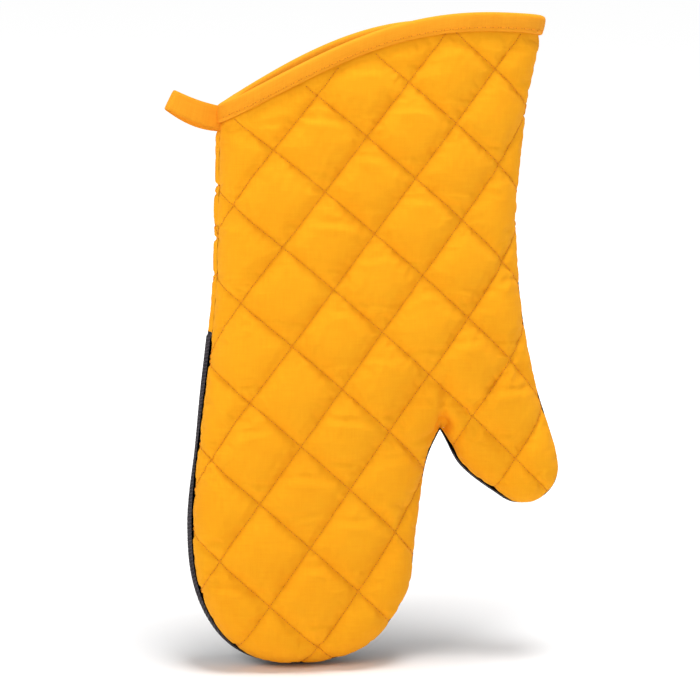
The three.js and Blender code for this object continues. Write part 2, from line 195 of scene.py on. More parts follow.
# %% The seam line and the mouth line
SEAM_STEP = 1.0
CROTCH_BOW = -4.0
THUMB_BOW = 5.3
CUFF_BOW = 2.5
THUMB_SIDE = [thumb_tip(a) for a in (-135, -105, -75, -45, -15, 20)]
WRIST_RIGHT = np.array([67.5, -78.0])
finger_side = smooth_line([
    MOUTH_LEFT,
    np.array([-82.5, -78.0]),
    np.array([-84.0, -120.0]),
    *[fingertip(a) for a in (180, 205, 230, 250, 270, 290, 310, 335, 360)],
    np.array([22.5, -197.0]),
    CROTCH,
])
thumb_side = smooth_line([
    CROTCH,
    bowed(CROTCH, THUMB_SIDE[0], 0.5, CROTCH_BOW),
    *THUMB_SIDE,
    bowed(THUMB_SIDE[-1], WRIST_RIGHT, 1 / 3, THUMB_BOW),
    bowed(THUMB_SIDE[-1], WRIST_RIGHT, 2 / 3, THUMB_BOW),
    WRIST_RIGHT,
    bowed(WRIST_RIGHT, MOUTH_RIGHT, 0.5, CUFF_BOW),
    MOUTH_RIGHT,
])


def mouth_edge(u):
    """The curved edge of the mouth, from left to right as u goes from 0 to 1."""
    line = MOUTH_LEFT + np.outer(u, MOUTH_RIGHT - MOUTH_LEFT)
    line[:, 1] += MOUTH_RISE * np.sin(np.pi * u**MOUTH_SKEW)
    return line


finger_side = spaced(finger_side, SEAM_STEP)
thumb_side = spaced(thumb_side, SEAM_STEP)
mouth_line = mouth_edge(np.linspace(0, 1, 400))
seam_line = np.concatenate([finger_side, thumb_side[1:]])
low, high = seam_line.min(axis=0), seam_line.max(axis=0)
frame_low = np.array(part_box("finger_back_cover")[0]) / MM
frame_high = np.array(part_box("thumb_back_cover")[1]) / MM
print("pattern:", low.round(1), high.round(1))
print("off the frame by, mm:", (low - frame_low[[0, 2]]).round(2), (high[0] - frame_high[0]).round(2))

# %% [markdown]
# ## How full the mitt is
# Each face rises from the seam in a quarter round and goes on as a shallow crown, which
# is fuller on the hand than on the fingers and the thumb. The half thicknesses of the
# hand and the fingers come from the frame. A point of any layer is then its place on the
# pattern, lifted to that height and let down by its depth below the outer face. The
# covers also swell a little past the seam, since the wadding presses them out there.

# %% Distances on the pattern
BACK = -1
PALM = 1
SEAM_OVERRUN = 14.0
ON_LINE = 0.05


def run_on(end, before):
    """Where a line that ends at end would go if it ran on past the mouth."""
    return end + (end - before) / np.linalg.norm(end - before) * SEAM_OVERRUN


measured_seam = np.array([
    run_on(seam_line[0], seam_line[4]),
    *seam_line,
    run_on(seam_line[-1], seam_line[-5]),
])


# %% The nearest point of a line
def tree_of(points):
    """A search tree of points; flat points get a height of 0."""
    tree = KDTree(len(points))
    for k, p in enumerate(points.tolist()):
        tree.insert(p if len(p) == 3 else (*p, 0.0), k)
    tree.balance()
    return tree


line_trees = {}


def nearest(line, p):
    """How far each point of p is from a line, and the direction away from it."""
    tree = line_trees.setdefault(id(line), tree_of(line))
    at = np.array([tree.find((*q, 0.0))[1] for q in p.tolist()])
    distance = np.full(len(p), np.inf)
    direction = np.zeros((len(p), 2))
    for start in (at - 1, at):
        start = np.clip(start, 0, len(line) - 2)
        run = line[start + 1] - line[start]
        length2 = (run**2).sum(axis=1)
        share = np.clip(((p - line[start]) * run).sum(axis=1) / length2, 0, 1)
        away = p - line[start] - run * share[:, None]
        far = np.linalg.norm(away, axis=1)
        inward = np.column_stack([-run[:, 1], run[:, 0]]) / np.sqrt(length2)[:, None]
        chosen = np.where(far[:, None] > ON_LINE, away / np.maximum(far, 1e-9)[:, None], inward)
        closer = far < distance
        distance[closer] = far[closer]
        direction[closer] = chosen[closer]
    return distance, direction


def smoothstep(a, b, x):
    """0 below a, 1 above b and an even curve between."""
    t = np.clip((x - a) / (b - a), 0, 1)
    return t * t * (3 - 2 * t)


# %% The padded shape
CROWN = {"hand": 7.0, "fingers": 4.0, "thumb": 1.5}
EDGE_RADIUS = {"hand": 15.0, "fingers": 14.0, "thumb": 12.0}
CROWN_REACH = 45.0
REGION_BLEND = 32.0
BINDING_WIDTH = 8.0
BINDING_CLEAR = 0.75
SQUEEZE_REACH = 14.0
HALF_GAP = 0.15


def fold(name):
    """A joint of the frame by its name."""
    return next(j for j in frame["joints"] if j["name"] == name)


thumb_axis = fold("thumb_fold")["axis"]
thumb_down = np.array([thumb_axis[2], -thumb_axis[0]])
RISE = {
    part: -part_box(node)[0].y / MM - CROWN[part] - HALF_GAP
    for part, node in (("hand", "hand_back_cover"), ("fingers", "finger_back_cover"))
}
RISE["thumb"] = 11.5
print("edge rises, mm:", {part: round(v, 2) for part, v in RISE.items()})


def blended(values, p):
    """A value that changes from the hand to the fingers and to the thumb."""
    fingers = smoothstep(-REGION_BLEND, REGION_BLEND, CROTCH[1] - p[:, 1])
    beyond = (p - CROTCH) @ thumb_down
    beside = smoothstep(-REGION_BLEND, REGION_BLEND / 2, p[:, 0] - CROTCH[0])
    thumb = smoothstep(-REGION_BLEND, REGION_BLEND, beyond) * beside
    hand = values["hand"] + (values["fingers"] - values["hand"]) * fingers
    return hand + (values["thumb"] - hand) * thumb


def squeezed(p):
    """1 under the binding, 0 where the quilt has its full thickness."""
    free = BINDING_WIDTH + BINDING_CLEAR
    return 1 - smoothstep(free, free + SQUEEZE_REACH, nearest(mouth_line, p)[0])


# %% Lifting the pattern into shape
DIP = 1.2
PALM_RAISE = 2.4
PALM_RAISE_REACH = 55.0
PALM_RAISE_WIDTH = 0.62
PALM_RAISE_POWER = 0.8
SWELL = 0.9
SWELL_OF_PALM = (0.3, 2.5)
SWELL_HEIGHT = 4.0
KNUCKLE_HEIGHT = CROTCH[1] - 10
KNUCKLE_REACH = 22
CROTCH_TIGHT = (4, 22)
MOUTH_TIGHT = (BINDING_WIDTH - 1, BINDING_WIDTH + 8)


def raised(p):
    """How much higher the palm's edge of the mouth stands, on the little finger's side."""
    across = (p[:, 0] - MOUTH_LEFT[0]) / (MOUTH_RIGHT[0] - MOUTH_LEFT[0])
    share = np.clip(across / PALM_RAISE_WIDTH, 0, 1)
    hump = np.sin(math.pi * share) ** PALM_RAISE_POWER
    return PALM_RAISE * hump * (1 - smoothstep(0, PALM_RAISE_REACH, nearest(mouth_line, p)[0]))


def swollen(p, side, height, inward):
    """How far a cover swells past the seam: most on the palm's left, less at the knuckles."""
    share = height / SWELL_HEIGHT
    most = np.full(len(p), SWELL)
    if side == PALM:
        knuckles = 0.5 * np.exp(-((p[:, 1] - KNUCKLE_HEIGHT) / KNUCKLE_REACH) ** 2)
        least, greatest = SWELL_OF_PALM
        most = least + (greatest - least) * np.clip(inward[:, 0], 0, 1) * (1 - knuckles)
    free = smoothstep(*CROTCH_TIGHT, np.linalg.norm(p - CROTCH, axis=1))
    free *= smoothstep(*MOUTH_TIGHT, nearest(mouth_line, p)[0])
    return most * share * np.exp(1 - share) * free


def lifted(p, side, depth=0.0, swell=False):
    """The points p of the pattern on one side of the mitt, at a depth in it."""
    distance, direction = nearest(measured_seam, p)
    radius = blended(EDGE_RADIUS, p)
    inset = np.minimum(distance / radius, 1)
    sine = np.sqrt(1 - (1 - inset) ** 2)
    crown = blended(CROWN, p) * smoothstep(0, CROWN_REACH, distance)
    height = (blended(RISE, p) - depth) * sine + crown - DIP * squeezed(p) * sine + HALF_GAP
    inward = depth * (1 - inset)
    if swell:
        inward = inward - swollen(p, side, height, direction) * (1 - inset)
    moved = p + direction * np.reshape(inward, (-1, 1))
    if side == PALM:
        moved[:, 1] += raised(p)
    return np.column_stack([moved[:, 0], side * height, moved[:, 1]])


# %% [markdown]
# ## The quilting lines
# The wadding is stitched between two layers of cotton in diamonds, before the panels
# are cut out. The two families of rows are slightly uneven, as on a real mitt, where the
# quilted cloth has been pulled round the padding: a lattice of points with a few second
# order terms gives both families. They could be laid on the pattern as it is seen from
# the front, but then they would run into long arcs on the steep edge. So they are drawn
# on the flat cloth, and the outer part of that cloth is bent round the edge.

# %% The diamond lattice
LATTICE_ORIGIN = np.array([-35.75, -16.59])
STEP_I = np.array([25.12, -19.97])
STEP_J = np.array([-21.11, -26.57])
BEND_II = np.array([-0.304, -0.119])
BEND_IJ = np.array([0.381, -0.272])
BEND_JJ = np.array([-0.04, -0.114])


def lattice(i, j):
    """Crossing i, j of the two families of rows, on the flat cloth."""
    i, j = np.broadcast_arrays(np.asarray(i, float), np.asarray(j, float))
    terms = ((i, STEP_I), (j, STEP_J), (i * i, BEND_II), (i * j, BEND_IJ), (j * j, BEND_JJ))
    return LATTICE_ORIGIN + sum(np.multiply.outer(a, b) for a, b in terms)


# %% Keeping a row inside the outline
BATCH = 2000


def inside(polygon, p):
    """Which points of p are inside a closed polygon."""
    a, b = polygon, np.roll(polygon, -1, axis=0)
    result = np.zeros(len(p), bool)
    for first in range(0, len(p), BATCH):
        x, z = p[first:first + BATCH, 0, None], p[first:first + BATCH, 1, None]
        crosses = (a[:, 1] > z) != (b[:, 1] > z)
        rise = np.where(b[:, 1] == a[:, 1], 1, b[:, 1] - a[:, 1])
        at = a[:, 0] + (z - a[:, 1]) * (b[:, 0] - a[:, 0]) / rise
        result[first:first + BATCH] = (crosses & (x < at)).sum(axis=1) % 2 == 1
    return result


outline = np.concatenate([seam_line, mouth_line[::-1][1:-1]])
FEWEST_POINTS = 12
HALVINGS = 12


def clipped(line):
    """The stretches of a line that lie inside the outline, carried on to its edge."""
    within = inside(outline, line)
    stretches = []
    k = 0
    while k < len(line):
        if not within[k]:
            k += 1
            continue
        end = k
        while end + 1 < len(line) and within[end + 1]:
            end += 1
        stretch = [*line[k:end + 1]]
        for place, outer in ((0, k - 1), (len(stretch), end + 1)):
            if 0 <= outer < len(line):
                good = stretch[0] if place == 0 else stretch[-1]
                bad = line[outer]
                for _ in range(HALVINGS):
                    middle = (good + bad) / 2
                    if inside(outline, middle[None])[0]:
                        good = middle
                    else:
                        bad = middle
                stretch.insert(place, good)
        if len(stretch) > FEWEST_POINTS:
            stretches.append(np.array(stretch))
        k = end + 1
    return stretches


# %% The rows, bent round the edge
FIRST_LINE = -5
LAST_LINE = 9
ABOVE_MOUTH = [0.0, 60.0]
LARGEST_STEP = 3.0
QUARTER = math.pi / 2
within_seams = np.array([*measured_seam, ABOVE_MOUTH])
along_lattice = np.linspace(FIRST_LINE, LAST_LINE, 2400)


def laid(flat):
    """Where points of the flat cloth lie on the pattern once its edge is bent round.

    The cloth is flat down to one edge radius from the seam. From there it turns through
    a quarter round, so it reaches a little past the seam line when it lies flat.
    """
    distance, direction = nearest(measured_seam, flat)
    sign = np.where(inside(within_seams, flat), 1, -1)
    radius = blended(EDGE_RADIUS, flat)
    turned = sign * distance / radius + QUARTER - 1
    reach = radius * (1 - np.cos(np.clip(turned, 0, QUARTER)))
    reach = np.where(turned < QUARTER, reach, distance)
    inward = direction * np.where(distance > ON_LINE, sign, 1)[:, None]
    foot = flat - direction * distance[:, None]
    return foot + inward * reach[:, None], turned > 0


def laid_lines(flat):
    """The stretches of one row of stitching that lie on the panel."""
    line, on_cloth = laid(flat)
    step = np.linalg.norm(np.diff(line, axis=0), axis=1)
    breaks = np.flatnonzero(~on_cloth[1:] | ~on_cloth[:-1] | (step > LARGEST_STEP)) + 1
    stretches = []
    for part in np.split(line, breaks):
        if len(part) > FEWEST_POINTS:
            stretches += clipped(part)
    return stretches


quilt_lines = []
for n in range(FIRST_LINE, LAST_LINE + 1):
    quilt_lines += laid_lines(lattice(along_lattice, n)) + laid_lines(lattice(n, along_lattice))
print(len(quilt_lines), "quilting lines")

# %% [markdown]
# ## Cutting a panel into small faces
# The panel has to bend sharply at three kinds of line: its edge, its stitching and the
# line where one piece ends and the next begins. Those lines are put into the mesh
# first, and a Delaunay triangulation fills in the cloth between them. Points sit at
# even distances over the padded shape, so the steep edge of the mitt is as finely
# divided as its face.

# %% Points of a panel
random = np.random.default_rng(7)
GRID_UNEVEN = 0.16
CLEAR_OF_LINES = 0.55
CUT_ANGLE = math.radians(42)
CUT_LENGTH = 75
cut_far = CROTCH + CUT_LENGTH * np.array([math.cos(CUT_ANGLE), math.sin(CUT_ANGLE)])
thumb_cut = clipped(CROTCH + np.linspace(0.004, 1, 300)[:, None] * (cut_far - CROTCH))[0]


def spaced_on(line, spacing, side=BACK):
    """Points at even distances over the padded shape."""
    points = lifted(line, side)
    return spaced(line, spacing, np.linalg.norm(np.diff(points, axis=0), axis=1))


# %% Rows of points round the edge
def edge_rings(spacing):
    """Rows of points that follow the seam up the rounded edge."""
    seam = np.concatenate([
        spaced(measured_seam[:2], spacing)[:-1],
        spaced(finger_side, spacing),
        spaced(thumb_side, spacing)[1:],
        spaced(measured_seam[-2:], spacing)[1:],
    ])
    run = np.gradient(seam, axis=0)
    inward = np.column_stack([-run[:, 1], run[:, 0]])
    inward /= np.linalg.norm(inward, axis=1)[:, None]
    corner = np.linalg.norm(seam - CROTCH, axis=1) < spacing
    fan = np.linspace(math.radians(12), math.radians(125), 12)
    seam = np.concatenate([seam[~corner], np.tile(CROTCH, (len(fan), 1))])
    inward = np.concatenate([inward[~corner], np.column_stack([np.cos(fan), np.sin(fan)])])
    radius = blended(EDGE_RADIUS, seam)
    count = round(QUARTER * EDGE_RADIUS["fingers"] / spacing)
    rows = []
    for k in range(1, count + 1):
        reach = radius * (1 - math.cos(QUARTER * k / (count + 0.5)))
        ring = seam + inward * reach[:, None]
        distance = nearest(measured_seam, ring)[0]
        rows.append(ring[distance > reach - 0.04])
    return np.concatenate(rows)


# %% A whole panel
def panel(spacing, stitch_lines, cut_lines, side=BACK):
    """Flat points and triangles of one panel, and which points are sewn or on its border."""
    border = np.concatenate([
        spaced(finger_side, spacing),
        spaced(thumb_side, spacing)[1:],
        spaced_on(mouth_line[::-1], spacing, side)[1:-1],
    ])
    points = [*border]
    edges = [(k, (k + 1) % len(border)) for k in range(len(border))]
    for line in [*stitch_lines, *cut_lines]:
        edges += [(len(points) + k, len(points) + k + 1) for k in range(len(line) - 1)]
        points += [*line]
    fixed = np.array(points)
    step_x, step_z = spacing, spacing * math.sqrt(3) / 2
    columns = np.arange(low[0], high[0], step_x)
    rows = np.arange(low[1], high[1] + 2, step_z)
    grid = np.array([(x + (k % 2) * step_x / 2, z) for k, z in enumerate(rows) for x in columns])
    grid += random.uniform(-GRID_UNEVEN, GRID_UNEVEN, grid.shape) * spacing
    grid = grid[inside(outline, grid)]
    grid = grid[nearest(measured_seam, grid)[0] > blended(EDGE_RADIUS, grid)]
    rings = edge_rings(spacing)
    rings = rings[inside(outline, rings)]
    loose = np.concatenate([rings, grid])
    tree = tree_of(lifted(fixed, side))
    far = np.array([tree.find(p)[2] for p in lifted(loose, side)])
    loose = loose[far > CLEAR_OF_LINES * spacing]
    every = [Vector(p) for p in np.concatenate([fixed, loose])]
    flat, _, faces, source, *_ = delaunay_2d_cdt(every, edges, [], 1, 0.01)
    flat = np.array([tuple(p) for p in flat])
    sewn_ids = set(range(len(border), len(border) + sum(len(v) for v in stitch_lines)))
    sewn = np.array([not s or any(k in sewn_ids for k in s) for s in source])
    edge = np.array([any(k < len(border) for k in s) for s in source])
    return flat, np.array([list(f) for f in faces if len(f) == 3]), sewn, edge


# %% The back's panel
SPACING = 2.0
STITCH = 3.5
stitch_lines = [spaced_on(line, STITCH / 2) for line in quilt_lines]
thumb_cuts = [spaced_on(thumb_cut, SPACING)]
back_flat, back_faces, back_sewn, back_edge = panel(SPACING, stitch_lines, thumb_cuts)
print("back panel:", len(back_flat), "points,", len(back_faces), "faces,", back_sewn.sum(), "sewn")

# %% [markdown]
# ## Puffing the cotton out
# Quilted cotton is a little larger than the pattern between its stitches, because the
# needle gathers it, and the wadding pushes that surplus out into soft diamonds with
# small puckers along the stitching. A cloth simulation does the same: the panel starts
# drawn in along its stitching, grows by a small share, and is blown outwards with its
# stitches and its edges held.

# %% Helpers for cloth
QUILT_DEPTH = 2.3
QUILT_REACH = 4.2


def normals_of(points, faces):
    """The outward direction at each point of a mesh of triangles."""
    normal = np.zeros_like(points)
    a, b, c = (points[faces[:, k]] for k in range(3))
    cross = np.cross(b - a, c - a)
    for k in range(3):
        np.add.at(normal, faces[:, k], cross)
    return normal / np.maximum(np.linalg.norm(normal, axis=1), 1e-9)[:, None]


def distance_to(lines, points, side):
    """How far each point is from the nearest of some lines on the padded shape."""
    marks = np.concatenate([lifted(spaced_on(line, 0.5, side), side) for line in lines])
    tree = tree_of(marks)
    return np.array([tree.find(p)[2] for p in points])


def raw_mesh(name, points, faces):
    """A bare mesh from arrays of points and faces."""
    mesh = bpy.data.meshes.new(name)
    mesh.from_pydata([tuple(p) for p in points], [], [tuple(int(k) for k in f) for f in faces])
    return mesh


def linked(name, data):
    """A new object in the scene."""
    obj = bpy.data.objects.new(name, data)
    bpy.context.scene.collection.objects.link(obj)
    return obj


def solved(obj):
    """An object's mesh with its modifiers worked out."""
    return obj.evaluated_get(bpy.context.evaluated_depsgraph_get()).to_mesh()


# %% Blowing a panel out
SIM_SCALE = 0.01
PUFF_GROWTH = 0.035
PUFF_PRESSURE = 50
PUFF_FRAMES = 20
PUFF_CAP = 2.6


def puffed(points, faces, held):
    """Blows a held panel outwards with Blender's cloth, and gives its new points."""
    obj = linked("blown", raw_mesh("blown", points * SIM_SCALE, faces))
    pins = obj.vertex_groups.new(name="held")
    for k in np.flatnonzero(held > 0).tolist():
        pins.add([k], float(held[k]), "REPLACE")
    cloth = obj.modifiers.new("cloth", "CLOTH")
    cloth.point_cache.frame_end = PUFF_FRAMES
    settings = cloth.settings
    settings.quality = 5
    settings.mass = 0.1
    settings.tension_stiffness = 15
    settings.compression_stiffness = 15
    settings.shear_stiffness = 5
    settings.bending_stiffness = 0.4
    settings.air_damping = 3
    settings.vertex_group_mass = "held"
    settings.shrink_min = -PUFF_GROWTH
    settings.use_pressure = True
    settings.uniform_pressure_force = PUFF_PRESSURE
    settings.effector_weights.gravity = 0
    cloth.collision_settings.use_collision = False
    for frame_number in range(1, PUFF_FRAMES + 1):
        bpy.context.scene.frame_set(frame_number)
    moved = np.array([v.co for v in solved(obj).vertices]) / SIM_SCALE - points
    bpy.data.objects.remove(obj)
    bpy.context.scene.frame_set(1)
    far = np.linalg.norm(moved, axis=1)
    limit = PUFF_CAP * np.tanh(far / PUFF_CAP)
    return points + moved * (limit / np.maximum(far, 1e-9))[:, None]


# %% [markdown]
# ## Making the pieces
# Each panel is worked out as one mesh, then cut into the piece of the hand and the
# fingers and the piece of the thumb. The cut crosses the hand where the mitt doesn't
# bend. Both pieces keep the normals of the whole panel, so the cut doesn't show, and
# the weave follows the cloth because it is measured on the flat pattern.

# %% Helpers for pieces
HAND, THUMB, CUFF = 0, 1, 2


def unrolled(p):
    """Where each point of the pattern lies on the flat cloth, in metres."""
    distance, direction = nearest(measured_seam, p)
    radius = blended(EDGE_RADIUS, p)
    inset = np.minimum(distance / radius, 1)
    turned = radius * np.arccos(np.clip(1 - inset, 0, 1))
    surplus = QUARTER * radius - turned - (radius - np.minimum(distance, radius))
    return (p - direction * surplus[:, None]) * MM


# %% Softening a panel
def subdivided(obj):
    """Adds one level of subdivision to an object."""
    soft = obj.modifiers.new("soft", "SUBSURF")
    soft.levels = soft.render_levels = 1
    return obj


def softened(points, faces, regions, flat):
    """Subdivides a panel; gives points, faces, the region of each face, and its UVs."""
    mesh = raw_mesh("panel", points, faces)
    mesh.polygons.foreach_set("material_index", np.asarray(regions, np.int32))
    uv = mesh.uv_layers.new(name="cloth")
    corners = np.array([loop.vertex_index for loop in mesh.loops])
    uv.data.foreach_set("uv", flat[corners].ravel())
    for _ in range(3):
        mesh.materials.append(None)
    obj = subdivided(linked("panel", mesh))
    result = solved(obj)
    made = np.array([v.co for v in result.vertices])
    quads = np.array([list(f.vertices) for f in result.polygons])
    region = np.array([f.material_index for f in result.polygons])
    uvs = np.array([d.uv for d in result.uv_layers["cloth"].data]).reshape(len(quads), -1, 2)
    bpy.data.objects.remove(obj)
    return made, quads, region, uvs


def vertex_normals(points, quads):
    """The outward direction at each point of a mesh of four-sided faces."""
    triangles = np.concatenate([quads[:, [0, 1, 2]], quads[:, [0, 2, 3]]])
    return normals_of(points, triangles)


# %% Cutting a panel into pieces
def only_used(faces):
    """The points that some faces use, and the faces renumbered to them."""
    used = np.unique(faces)
    renumber = np.full(used[-1] + 1, -1)
    renumber[used] = np.arange(len(used))
    return used, renumber[faces]


def smooth(mesh):
    """Shades a mesh smooth."""
    mesh.polygons.foreach_set("use_smooth", np.ones(len(mesh.polygons), bool))


def piece(name, points, quads, uvs, normals=None):
    """A finished mesh object from points in millimetres, with its cloth UVs."""
    used, quads = only_used(quads)
    mesh = raw_mesh(name, points[used] * MM, quads)
    mesh.uv_layers.new(name="cloth").data.foreach_set("uv", uvs.ravel())
    smooth(mesh)
    if normals is not None:
        mesh.normals_split_custom_set_from_vertices(normals[used].tolist())
    mesh.update()
    return linked(name, mesh)


def cut_pieces(names, shape):
    """Cuts a softened panel into its pieces, by region."""
    points, quads, region, uvs = shape
    normals = vertex_normals(points, quads)
    made = {}
    for kind, name in names.items():
        chosen = region == kind
        made[kind] = piece(name, points, quads[chosen], uvs[chosen], normals)
    return made


def on_thumb(p):
    """Which points of the pattern are on the thumb's side of the cut."""
    right = p - CROTCH
    return (right[:, 1] < math.tan(CUT_ANGLE) * right[:, 0]) & (right[:, 0] > -0.3)


def thumb_faces(flat, faces):
    """Which faces of a flat panel are on the thumb's side of the cut."""
    return on_thumb(flat[faces].mean(axis=1))


def bend(obj, region):
    """Bakes a piece of the hand or the thumb in place, or lets a piece of the cuff ride on the hand.
    """
    if region == HAND:
        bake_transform(obj)
    elif region == THUMB:
        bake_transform(obj)
    else:
        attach(obj, "hand")
    return obj


# %% [markdown]
# ## The back's cotton
# The cover takes the quilting's diamonds. Near the crotch of the thumb the cloth is
# pulled tight where the seam turns, and a crease runs up into the hand from there, with
# two shorter ones beside it. They are taken off as shallow grooves after the puffing.

# %% Creases at the crotch
CREASES = (
    ((29.5, -182.0), (31.5, -148.0), 3.6),
    ((29.5, -183.0), (6.0, -187.0), 2.2),
    ((30.0, -182.0), (50.0, -170.0), 1.8),
)
CREASE_WIDTH = 2.0
CREASE_BOW = 0.06
SEAM_TIGHT = 2.5
print(len(CREASES), "creases at the crotch")


def crease_depth(p):
    """How deep the creases at the crotch are; they fade at the seam, which is tight."""
    depth = np.zeros(len(p))
    for start, end, deep in CREASES:
        start, end = np.array(start), np.array(end)
        run = end - start
        share = np.clip((p - start) @ run / (run @ run), 0, 1)
        bow = np.array([-run[1], run[0]]) * CREASE_BOW * np.sin(np.pi * share)[:, None]
        off = np.linalg.norm(p - start - run * share[:, None] - bow, axis=1)
        depth += deep * (1 - share) ** 0.7 * np.exp(-(off / CREASE_WIDTH) ** 2)
    return depth * smoothstep(0, SEAM_TIGHT, nearest(measured_seam, p)[0])


# %% [markdown]
# Wherever two rows of stitching cross, the cloth is pinched, and short creases run from
# there into the diamonds around, mostly straight up, down and sideways. Thin folds also
# lie level across the upper and lower corners of many diamonds, where the cloth has
# slack, and between the crossings the needle gathers the cloth into small puckers. They
# are placed with a seeded chance, so that no two diamonds match but each run gives the
# same mitt, and taken off after the puffing, which would blow them flat.

# %% Creases and puckers of the quilting
CREASE_CHANCE = 0.7
CREASE_LEAN = math.radians(40)
DIAMOND_HALF = 23.0
ACROSS_CHANCE = 0.6
PUCKER = 0.34
PUCKER_LENGTH = 6.0
PUCKER_WAVES = 24
pinches = np.random.default_rng(11)
quilt_creases = []
for i in range(FIRST_LINE, LAST_LINE + 1):
    for j in range(FIRST_LINE, LAST_LINE + 1):
        for quarter in range(4):
            chance, lean, long, deep = pinches.uniform(0, 1, 4)
            angle = QUARTER * quarter + CREASE_LEAN * (lean - 0.5)
            way = np.array([math.cos(angle), math.sin(angle)])
            start = lattice(i, j) + 1.5 * way
            if chance < CREASE_CHANCE and inside(outline, start[None])[0]:
                quilt_creases.append((start, start + way * (6 + 12 * long), 0.7 + 0.9 * deep))
across_creases = []
for i in range(FIRST_LINE, LAST_LINE):
    for j in range(FIRST_LINE, LAST_LINE):
        for end in (-1, 1):
            chance, height, shift, tilt, deep = pinches.uniform(0, 1, 5)
            offset = end * (0.38 + 0.34 * height)
            half_width = DIAMOND_HALF * (1 - abs(offset)) * (0.75 + 0.4 * shift)
            way = np.array([half_width, half_width * 0.3 * (tilt - 0.5)])
            centre = lattice(i + 0.5, j + 0.5) + [3 * (shift - 0.5), offset * DIAMOND_HALF]
            if chance < ACROSS_CHANCE and inside(outline, centre[None])[0]:
                across_creases.append((centre - way, centre + way, 0.9 + 0.6 * deep, tilt - 0.5))
waves = pinches.normal(0, 2 * math.pi / PUCKER_LENGTH, (PUCKER_WAVES, 2))
wave_starts = pinches.uniform(0, 2 * math.pi, PUCKER_WAVES)
print(len(quilt_creases), "creases at the crossings,", len(across_creases), "across the diamonds")


# %% The shape of a crease, a fold and the puckers
GROOVE_WIDTH = 1.4
FOLD_WIDTH = 1.3
FOLD_RISE = 0.45
FOLD_RISE_WIDTH = 2.4
FOLD_RISE_BELOW = 3.2


def groove(p, start, end, deep):
    """A crease that fades out from its start to its end."""
    run = end - start
    share = np.clip((p - start) @ run / (run @ run), 0, 1)
    off = np.linalg.norm(p - start - run * share[:, None], axis=1)
    return deep * (1 - share) * np.exp(-(off / GROOVE_WIDTH) ** 2)


def fold_across(p, start, end, deep, bow):
    """A shallow fold with a soft rise below it, that fades out at both of its ends."""
    run = end - start
    share = (p - start) @ run / (run @ run)
    side = np.array([-run[1], run[0]]) / np.linalg.norm(run)
    off = (p - start) @ side - 5 * bow * share * (1 - share)
    fade = np.clip(4 * share * (1 - share), 0, 1) ** 0.6
    rise = FOLD_RISE * np.exp(-((off + FOLD_RISE_BELOW) / FOLD_RISE_WIDTH) ** 2)
    return deep * fade * (np.exp(-(off / FOLD_WIDTH) ** 2) - rise)


def gathered(p, far):
    """How far the quilting's creases and puckers draw each point in."""
    depth = np.zeros(len(p))
    for start, end, deep, bow in across_creases:
        near = np.flatnonzero(np.abs(p - (start + end) / 2).max(axis=1) < 26)
        depth[near] += fold_across(p[near], start, end, deep, bow)
    for start, end, deep in quilt_creases:
        near = np.flatnonzero(np.abs(p - start).max(axis=1) < 24)
        depth[near] += groove(p[near], start, end, deep)
    ripple = np.sin(p @ waves.T + wave_starts).sum(axis=1) / math.sqrt(PUCKER_WAVES / 2)
    return depth + PUCKER * ripple * (0.25 + np.exp(-far / 5))


# %% The back cover
SEAM_GAP = 0.02
COVER_DEPTH = 0.3
DEEPEST = 3.1
SHALLOW_AT_SEAM = 0.3
SHALLOW_AT_BINDING = 0.85
CROTCH_PULL = 0.9


def on_seam(flat):
    """Which points lie on the seam, where the two panels meet."""
    return nearest(measured_seam, flat)[0] < ON_LINE


def quilted(flat, faces, side, stitched=1.0):
    """A quilted cover as it is before it puffs out, and the creases to take off after."""
    base = lifted(flat, side, swell=True)
    outward = normals_of(base, faces)
    far = distance_to(quilt_lines, base, side)
    valley = QUILT_DEPTH * np.exp(-(far / QUILT_REACH) ** 1.3)
    from_seam = nearest(measured_seam, flat)[0]
    valley *= SHALLOW_AT_SEAM + (1 - SHALLOW_AT_SEAM) * smoothstep(0, 9, from_seam)
    valley *= 1 - SHALLOW_AT_BINDING * squeezed(flat)
    loose = smoothstep(0, 6, from_seam) * (1 - squeezed(flat))
    small = gathered(flat, far) * loose * stitched
    drawn = valley * stitched + COVER_DEPTH
    room = np.maximum(DEEPEST - drawn, 0.01)
    small = np.where(small > 0, room * np.tanh(small / room), small)
    small += CROTCH_PULL * crease_depth(flat)
    start = base - outward * drawn[:, None]
    start[on_seam(flat), 1] = side * SEAM_GAP
    return start, outward * small[:, None]


# %% Holding the cloth
HELD_AT_BINDING = 0.8
HELD_AT_SEAM = 0.7


def hold(flat, sewn, edge):
    """How firmly each point is held: at its stitches, round its edge and at the binding."""
    from_mouth = nearest(mouth_line, flat)[0]
    from_seam = nearest(measured_seam, flat)[0]
    firm = np.where(sewn | edge | (from_mouth < BINDING_WIDTH + 1), 1.0, 0.0)
    free = smoothstep(BINDING_WIDTH + 1, BINDING_WIDTH + 9, from_mouth)
    near_binding = HELD_AT_BINDING * (1 - free)
    near_seam = HELD_AT_SEAM * (1 - smoothstep(0.1, 2.5, from_seam))
    return np.maximum(firm, np.maximum(near_binding, near_seam))


# %% The back, puffed out
back_start, back_creases = quilted(back_flat, back_faces, BACK)
back_cloth = puffed(back_start, back_faces, hold(back_flat, back_sewn, back_edge)) - back_creases
back_regions = np.where(thumb_faces(back_flat, back_faces), THUMB, HAND)
back_shape = softened(back_cloth, back_faces, back_regions, unrolled(back_flat))
back_cover = cut_pieces({HAND: "back_cotton", THUMB: "thumb_back_cotton"}, back_shape)
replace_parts(back_cover[HAND], "hand_back_cover", "finger_back_cover")
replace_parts(back_cover[THUMB], "thumb_back_cover")
print("back cover:", [len(o.data.polygons) for o in back_cover.values()], "faces")

